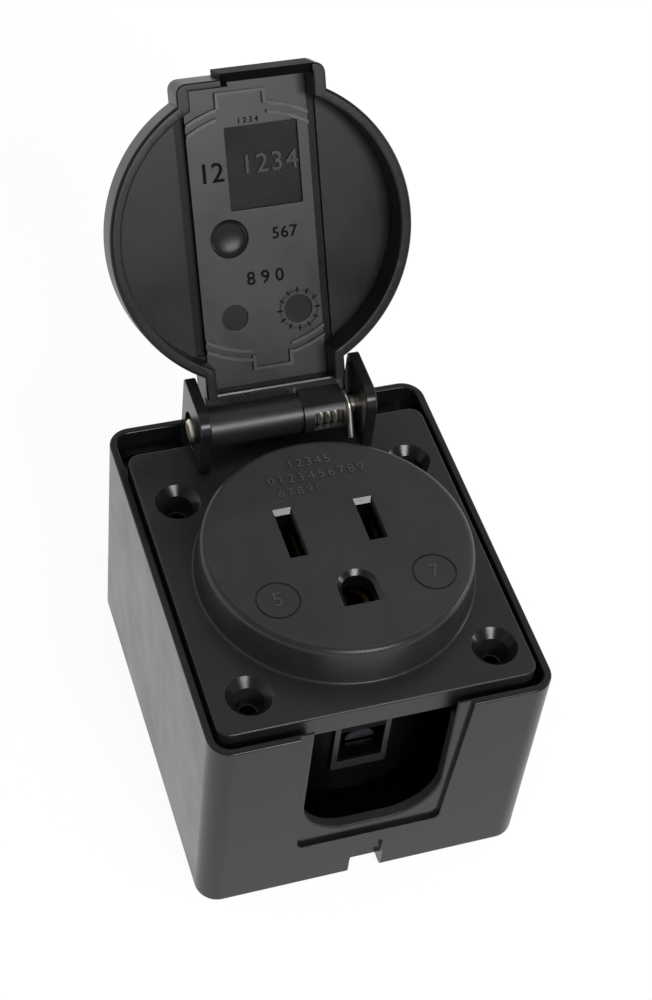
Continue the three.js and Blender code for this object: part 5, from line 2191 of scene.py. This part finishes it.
@dataclass
class Studio:
    """A white floor in a pale room with a dim ceiling, and soft lamps in front."""

    floor_half: float = 2600.0
    floor_top: float = -0.02
    floor_foot: float = -2.0
    floor_cloud_scale: float = 6.0
    floor_glow: float = 0.86
    floor_white: float = 1.08
    floor_mirror: float = 0.86
    room_light: float = 0.4
    ceiling_shine: float = 0.38
    front_shine: float = 0.35
    lamps: tuple[Lamp, ...] = (
        Lamp("front_lamp", (190.0, -760.0, 600.0), 300.0, 220.0, 2.6),
        Lamp("hinge_lamp", (-10.0, -800.0, 590.0), 180.0, 220.0, 1.2),
        Lamp("side_lamp", (900.0, -100.0, 260.0), 160.0, 300.0, 0.7),
    )

    def build(self) -> None:
        """Builds the floor, the room and the lamps."""
        bpy.context.scene.view_settings.view_transform = "Standard"
        half = self.floor_half
        floor = block((-half, -half, self.floor_foot), (half, half, self.floor_top))
        floor.finish("floor", self._floor_material())
        self._room()
        for lamp in self.lamps:
            lamp.build()

    def _floor_material(self) -> Material:
        """Builds a floor that is seen and reflected near white, with the object's soft shadow on it."""
        material = bpy.data.materials.new("pale_floor")
        material.use_nodes = True
        nodes = Nodes(material.node_tree)
        path = nodes.add("ShaderNodeLightPath")
        place = nodes.add("ShaderNodeTexCoord").outputs["Object"]
        cloud = nodes.noise(place, self.floor_cloud_scale, 2.0)
        tone = nodes.ramp(cloud, [(0.3, (0.88, 0.88, 0.875)), (0.7, (0.9, 0.9, 0.9))])
        matt = nodes.add("ShaderNodeBsdfDiffuse", {"Color": tone, "Roughness": 0.6})
        strength = nodes.add("ShaderNodeMix", {
            "Factor": path.outputs["Is Camera Ray"], "A": self.floor_mirror, "B": self.floor_white},
            data_type="FLOAT")
        glow = nodes.add("ShaderNodeEmission", {
            "Color": (1.0, 1.0, 1.0, 1.0), "Strength": strength.outputs["Result"]})
        seen = nodes.add("ShaderNodeMath", {
            0: path.outputs["Is Camera Ray"], 1: path.outputs["Is Glossy Ray"]}, operation="MAXIMUM")
        shown = nodes.add("ShaderNodeMath", {
            0: seen.outputs[0], 1: path.outputs["Is Transmission Ray"]}, operation="MAXIMUM")
        share = nodes.add("ShaderNodeMath", {0: shown.outputs[0], 1: self.floor_glow}, operation="MULTIPLY")
        mixed = nodes.add("ShaderNodeMixShader", {
            "Fac": share.outputs[0], 1: matt.outputs["BSDF"], 2: glow.outputs["Emission"]})
        nodes.add("ShaderNodeOutputMaterial", {"Surface": mixed.outputs["Shader"]})
        return material

    def _room(self) -> None:
        """Builds the room: white where it is seen, dimmer overhead in reflections, and softer as a light."""
        world = bpy.data.worlds.new("white_room")
        bpy.context.scene.world = world
        world.use_nodes = True
        nodes = Nodes(world.node_tree)
        path = nodes.add("ShaderNodeLightPath")
        way = nodes.add("ShaderNodeTexCoord").outputs["Generated"]
        parts = nodes.add("ShaderNodeSeparateXYZ", {"Vector": way})
        rising = nodes.spread(parts.outputs["Z"], 0.02, 0.4, 1.0, self.ceiling_shine)
        facing = nodes.spread(parts.outputs["Y"], -0.6, 0.2, self.front_shine, 1.0)
        shine = nodes.add("ShaderNodeMath", {0: rising, 1: facing}, operation="MULTIPLY").outputs[0]
        seen = nodes.add("ShaderNodeMath", {
            0: path.outputs["Is Camera Ray"], 1: path.outputs["Is Transmission Ray"]}, operation="MAXIMUM")
        glossy = nodes.add("ShaderNodeMix", {
            "Factor": path.outputs["Is Glossy Ray"], "A": self.room_light, "B": shine}, data_type="FLOAT")
        strength = nodes.add("ShaderNodeMix", {
            "Factor": seen.outputs[0], "A": glossy.outputs["Result"], "B": 1.0}, data_type="FLOAT")
        sky = nodes.add("ShaderNodeBackground", {
            "Color": (1.0, 1.0, 1.0, 1.0), "Strength": strength.outputs["Result"]})
        nodes.add("ShaderNodeOutputWorld", {"Surface": sky.outputs["Background"]})


def dress_cad_nodes(finishes: Finishes) -> None:
    """Gives each CAD node its finish.

    Args:
        finishes: Every finish on the object.
    """
    for name, node in frame["nodes"].items():
        metal = finishes.brass if name.endswith("_contact") else finishes.zinc
        # The carrier gets the near-black carrier finish, which is partly painted shade.
        material = finishes.carrier if name == "contact_carrier" else metal
        node.data.materials.clear()
        node.data.materials.append(material)


def main() -> None:
    """Builds the scene."""
    logging.basicConfig(level=logging.INFO, format="%(name)s: %(message)s")
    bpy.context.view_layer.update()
    datum = Datum.from_frame()
    log.info("datum: %s", datum)
    PhotoCamera().build()
    Studio().build()
    finishes = Finishes()
    dress_cad_nodes(finishes)
    for kind in (SurfaceBox, SocketHousing, LidMoulding, HingePin, LidSpring, Terminals):
        for piece in kind(datum).build(finishes):
            log.info("%s is in place", piece.name)


if __name__ == "__main__":
    main()
